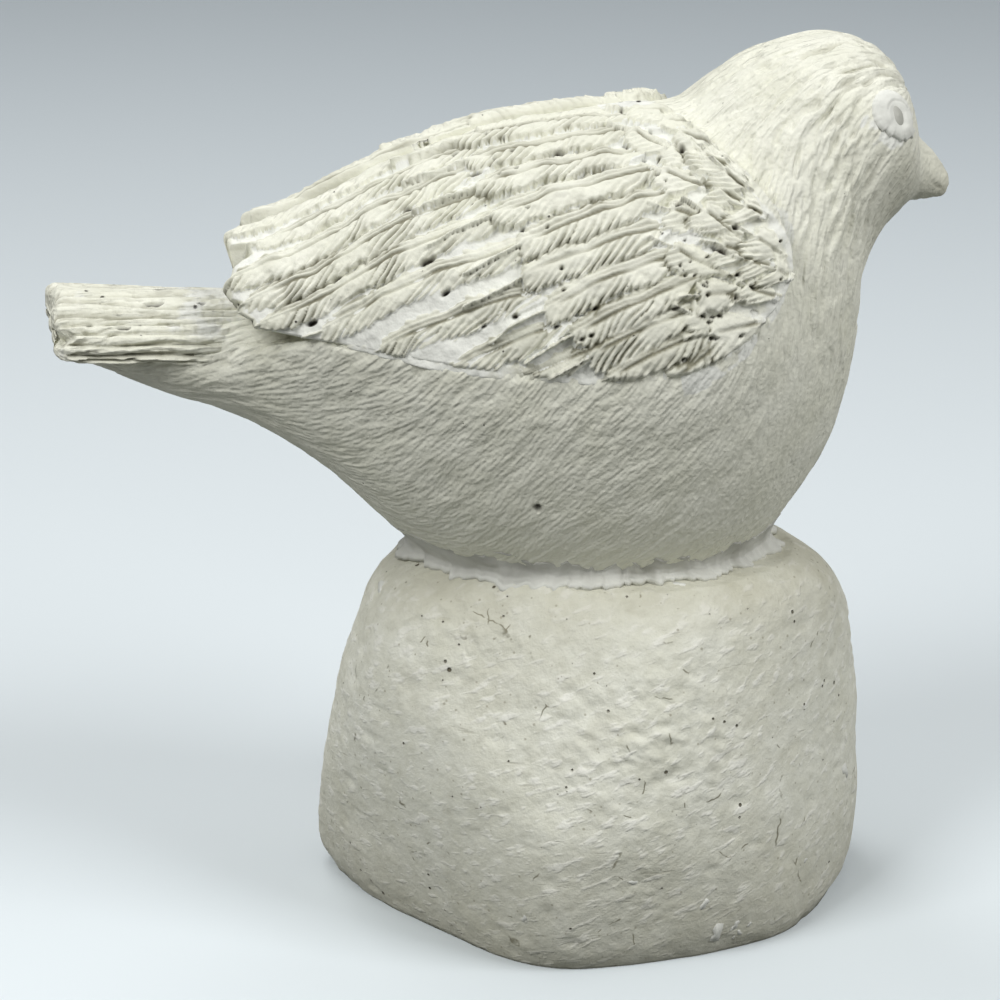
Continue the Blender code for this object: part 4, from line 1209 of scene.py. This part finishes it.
coarse = every_pair(np.linspace(2, 12, 120), np.linspace(0, 2 * np.pi, 90))
belly = BVHTree.FromPolygons(trunk_points(*coarse).tolist(), grid_faces(120, 90).tolist())
coarse = every_pair(np.linspace(0, 8, 90), np.linspace(0, 1, 121))
stone_skin = BVHTree.FromPolygons(boulder_points(*coarse).tolist(), grid_faces(90, 121).tolist())
turns = round_angles(SEAT_POINTS)
flat = np.stack([30 * np.cos(turns), 26 * np.sin(turns), 0 * turns], -1)
climb = 3.6 + 1.4 * np.cos(turns * 2) + 0.9 * lumps(flat, 7, 81)
climb = np.clip(climb + 0.9 * lumps(flat, 2.0, 82) + 0.8 * lumps(flat, 0.9, 83), 1.4, 7)
spread = 3.2 + 1.4 * lumps(flat, 9, 84) + 0.9 * lumps(flat, 2.5, 85) + 0.8 * lumps(flat, 0.9, 80)
share = np.linspace(0, 1, 16)[:, None]
bead_rings = []
for turn, rise, reach in zip(turns, climb, spread):
    way = Vector((math.cos(turn), math.sin(turn), 0))
    foot, top = (
        np.array(belly.ray_cast(Vector((*SEAT_MIDDLE, SEAT_Z + height)), way)[0]) for height in (0.1, rise)
    )
    out = np.array(way)
    top = top - 0.1 * out
    edge = foot + reach * out
    edge[2] = stone_skin.ray_cast(Vector((*edge[:2], 80)), Vector((0, 0, -1)))[0][2] + 0.05
    bulge = foot + 0.2 * reach * out + (0, 0, 0.1 * rise)
    curve = (1 - share) ** 2 * top + 2 * (1 - share) * share * bulge + share**2 * edge
    under = np.stack([edge - (0, 0, 0.8), foot - 1.5 * out - (0, 0, 0.2), top - 1.0 * out])
    bead_rings.append(np.concatenate([curve, under]))
count = len(bead_rings[0])
points = np.concatenate(bead_rings)
points = points + 0.22 * jitter(points, 1.8, 86)
brush = np.stack([np.repeat(turns * 5, count), np.tile(np.arange(count), SEAT_POINTS), 0 * points[:, 0]], -1)
points = points + 0.16 * lumps(brush, 1.3, 89)[:, None] * ((points - (*SEAT_MIDDLE, SEAT_Z - 6)) / 28)
points[:, 2] = np.maximum(points[:, 2], UNDER_BEAD)
grid = np.arange(len(points)).reshape(SEAT_POINTS, count)
beside, ahead = np.roll(grid, -1, axis=1), np.roll(grid, -1, axis=0)
both = np.roll(beside, -1, axis=0)
faces = np.stack([grid, beside, both, ahead], -1).reshape(-1, 4)
# Painted shade on the bead under the belly, greyest near the belly and lightest at its outer edge.
soiled = np.tile(np.interp(np.arange(count), (0, 8, 15), (0.4, 0.34, 0.16)), SEAT_POINTS)
soiled = soiled * (1 + 0.4 * lumps(points, 3, 90))
bead_mesh = mesh_from("seat_bead", points, faces, groove=np.clip(soiled, 0, 1))
piece_from("seat_bead", bead_mesh, chalk, "filler", "seat_filler")

# The setting: a sheet of pale paper as the floor, with shade painted on it that darkens it with distance, under
# four softboxes in front, behind and above. The paper throws little light back, so that the belly stays in
# shade, and the lens is long.
FLOOR_REACH = 3.0  # m from the middle
LAMP_SIZE, LAMP_AIM = 0.5, Vector((0, 0, 0.07))
CAMERA_TURN, CAMERA_LIFT = math.radians(-10), math.radians(18)  # behind square-on, and above the floor
CAMERA_TARGET, CAMERA_DISTANCE = Vector((-0.0008, 0, 0.0636)), 0.560
floor_mesh = bpy.data.meshes.new("floor")
corners = [(x * FLOOR_REACH, y * FLOOR_REACH, 0) for x, y in ((-1, -1), (1, -1), (1, 1), (-1, 1))]
floor_mesh.from_pydata(corners, [], [(0, 1, 2, 3)])
floor = add_object("floor", floor_mesh)
# Pale paper: matt and faintly blue, with painted shade that darkens it with distance. It is pale to the camera
# and in reflections, and dark grey to light that bounces off it.
paper, tree, shader, place = new_material("pale_paper")
radius = add_node(tree, "ShaderNodeVectorMath", {0: place}, operation="LENGTH").outputs["Value"]
away = ramp(tree, radius, 0.08, 0.9, interpolation_type="SMOOTHSTEP")
ray = tree.nodes.new("ShaderNodeLightPath").outputs
seen = joined(tree, "MAXIMUM", ray["Is Camera Ray"], ray["Is Glossy Ray"])
seen = joined(tree, "MAXIMUM", seen, ray["Is Transmission Ray"])
colour = blend(tree, seen, "#6E706E", blend(tree, away, "#E2EAEE", "#D2DCE3"))
give(shader, {"Base Color": colour, "Roughness": 0.9})
floor_mesh.materials.append(paper)

world = bpy.data.worlds.new("studio")
bpy.context.scene.world = world
world.use_nodes = True
give(world.node_tree.nodes["Background"], {"Color": linear("#F2F2EE"), "Strength": 0.2})

for name, spot, power in (
    ("left_softbox", (-0.66, -0.48, 0.78), 6.4),
    ("right_softbox", (0.66, -0.52, 0.78), 6.2),
    ("back_softbox", (-0.25, 0.42, 1.0), 3.2),
    ("top_softbox", (0.0, 0.0, 1.1), 0.8),
):
    lamp = bpy.data.lights.new(name, "AREA")
    lamp.size, lamp.energy = LAMP_SIZE, power
    light = add_object(name, lamp)
    light.location = spot
    light.rotation_euler = (LAMP_AIM - Vector(spot)).to_track_quat("-Z", "Y").to_euler()

camera_data = bpy.data.cameras.new("camera")
camera_data.lens, camera_data.sensor_width = 132.4, 36
camera = add_object("camera", camera_data)
flat = math.cos(CAMERA_LIFT)
back = Vector((math.sin(CAMERA_TURN) * flat, -math.cos(CAMERA_TURN) * flat, math.sin(CAMERA_LIFT)))
camera.location = CAMERA_TARGET + back * CAMERA_DISTANCE
camera.rotation_euler = back.to_track_quat("Z", "Y").to_euler()
bpy.context.scene.camera = camera
bpy.context.scene.view_settings.view_transform = "Standard"
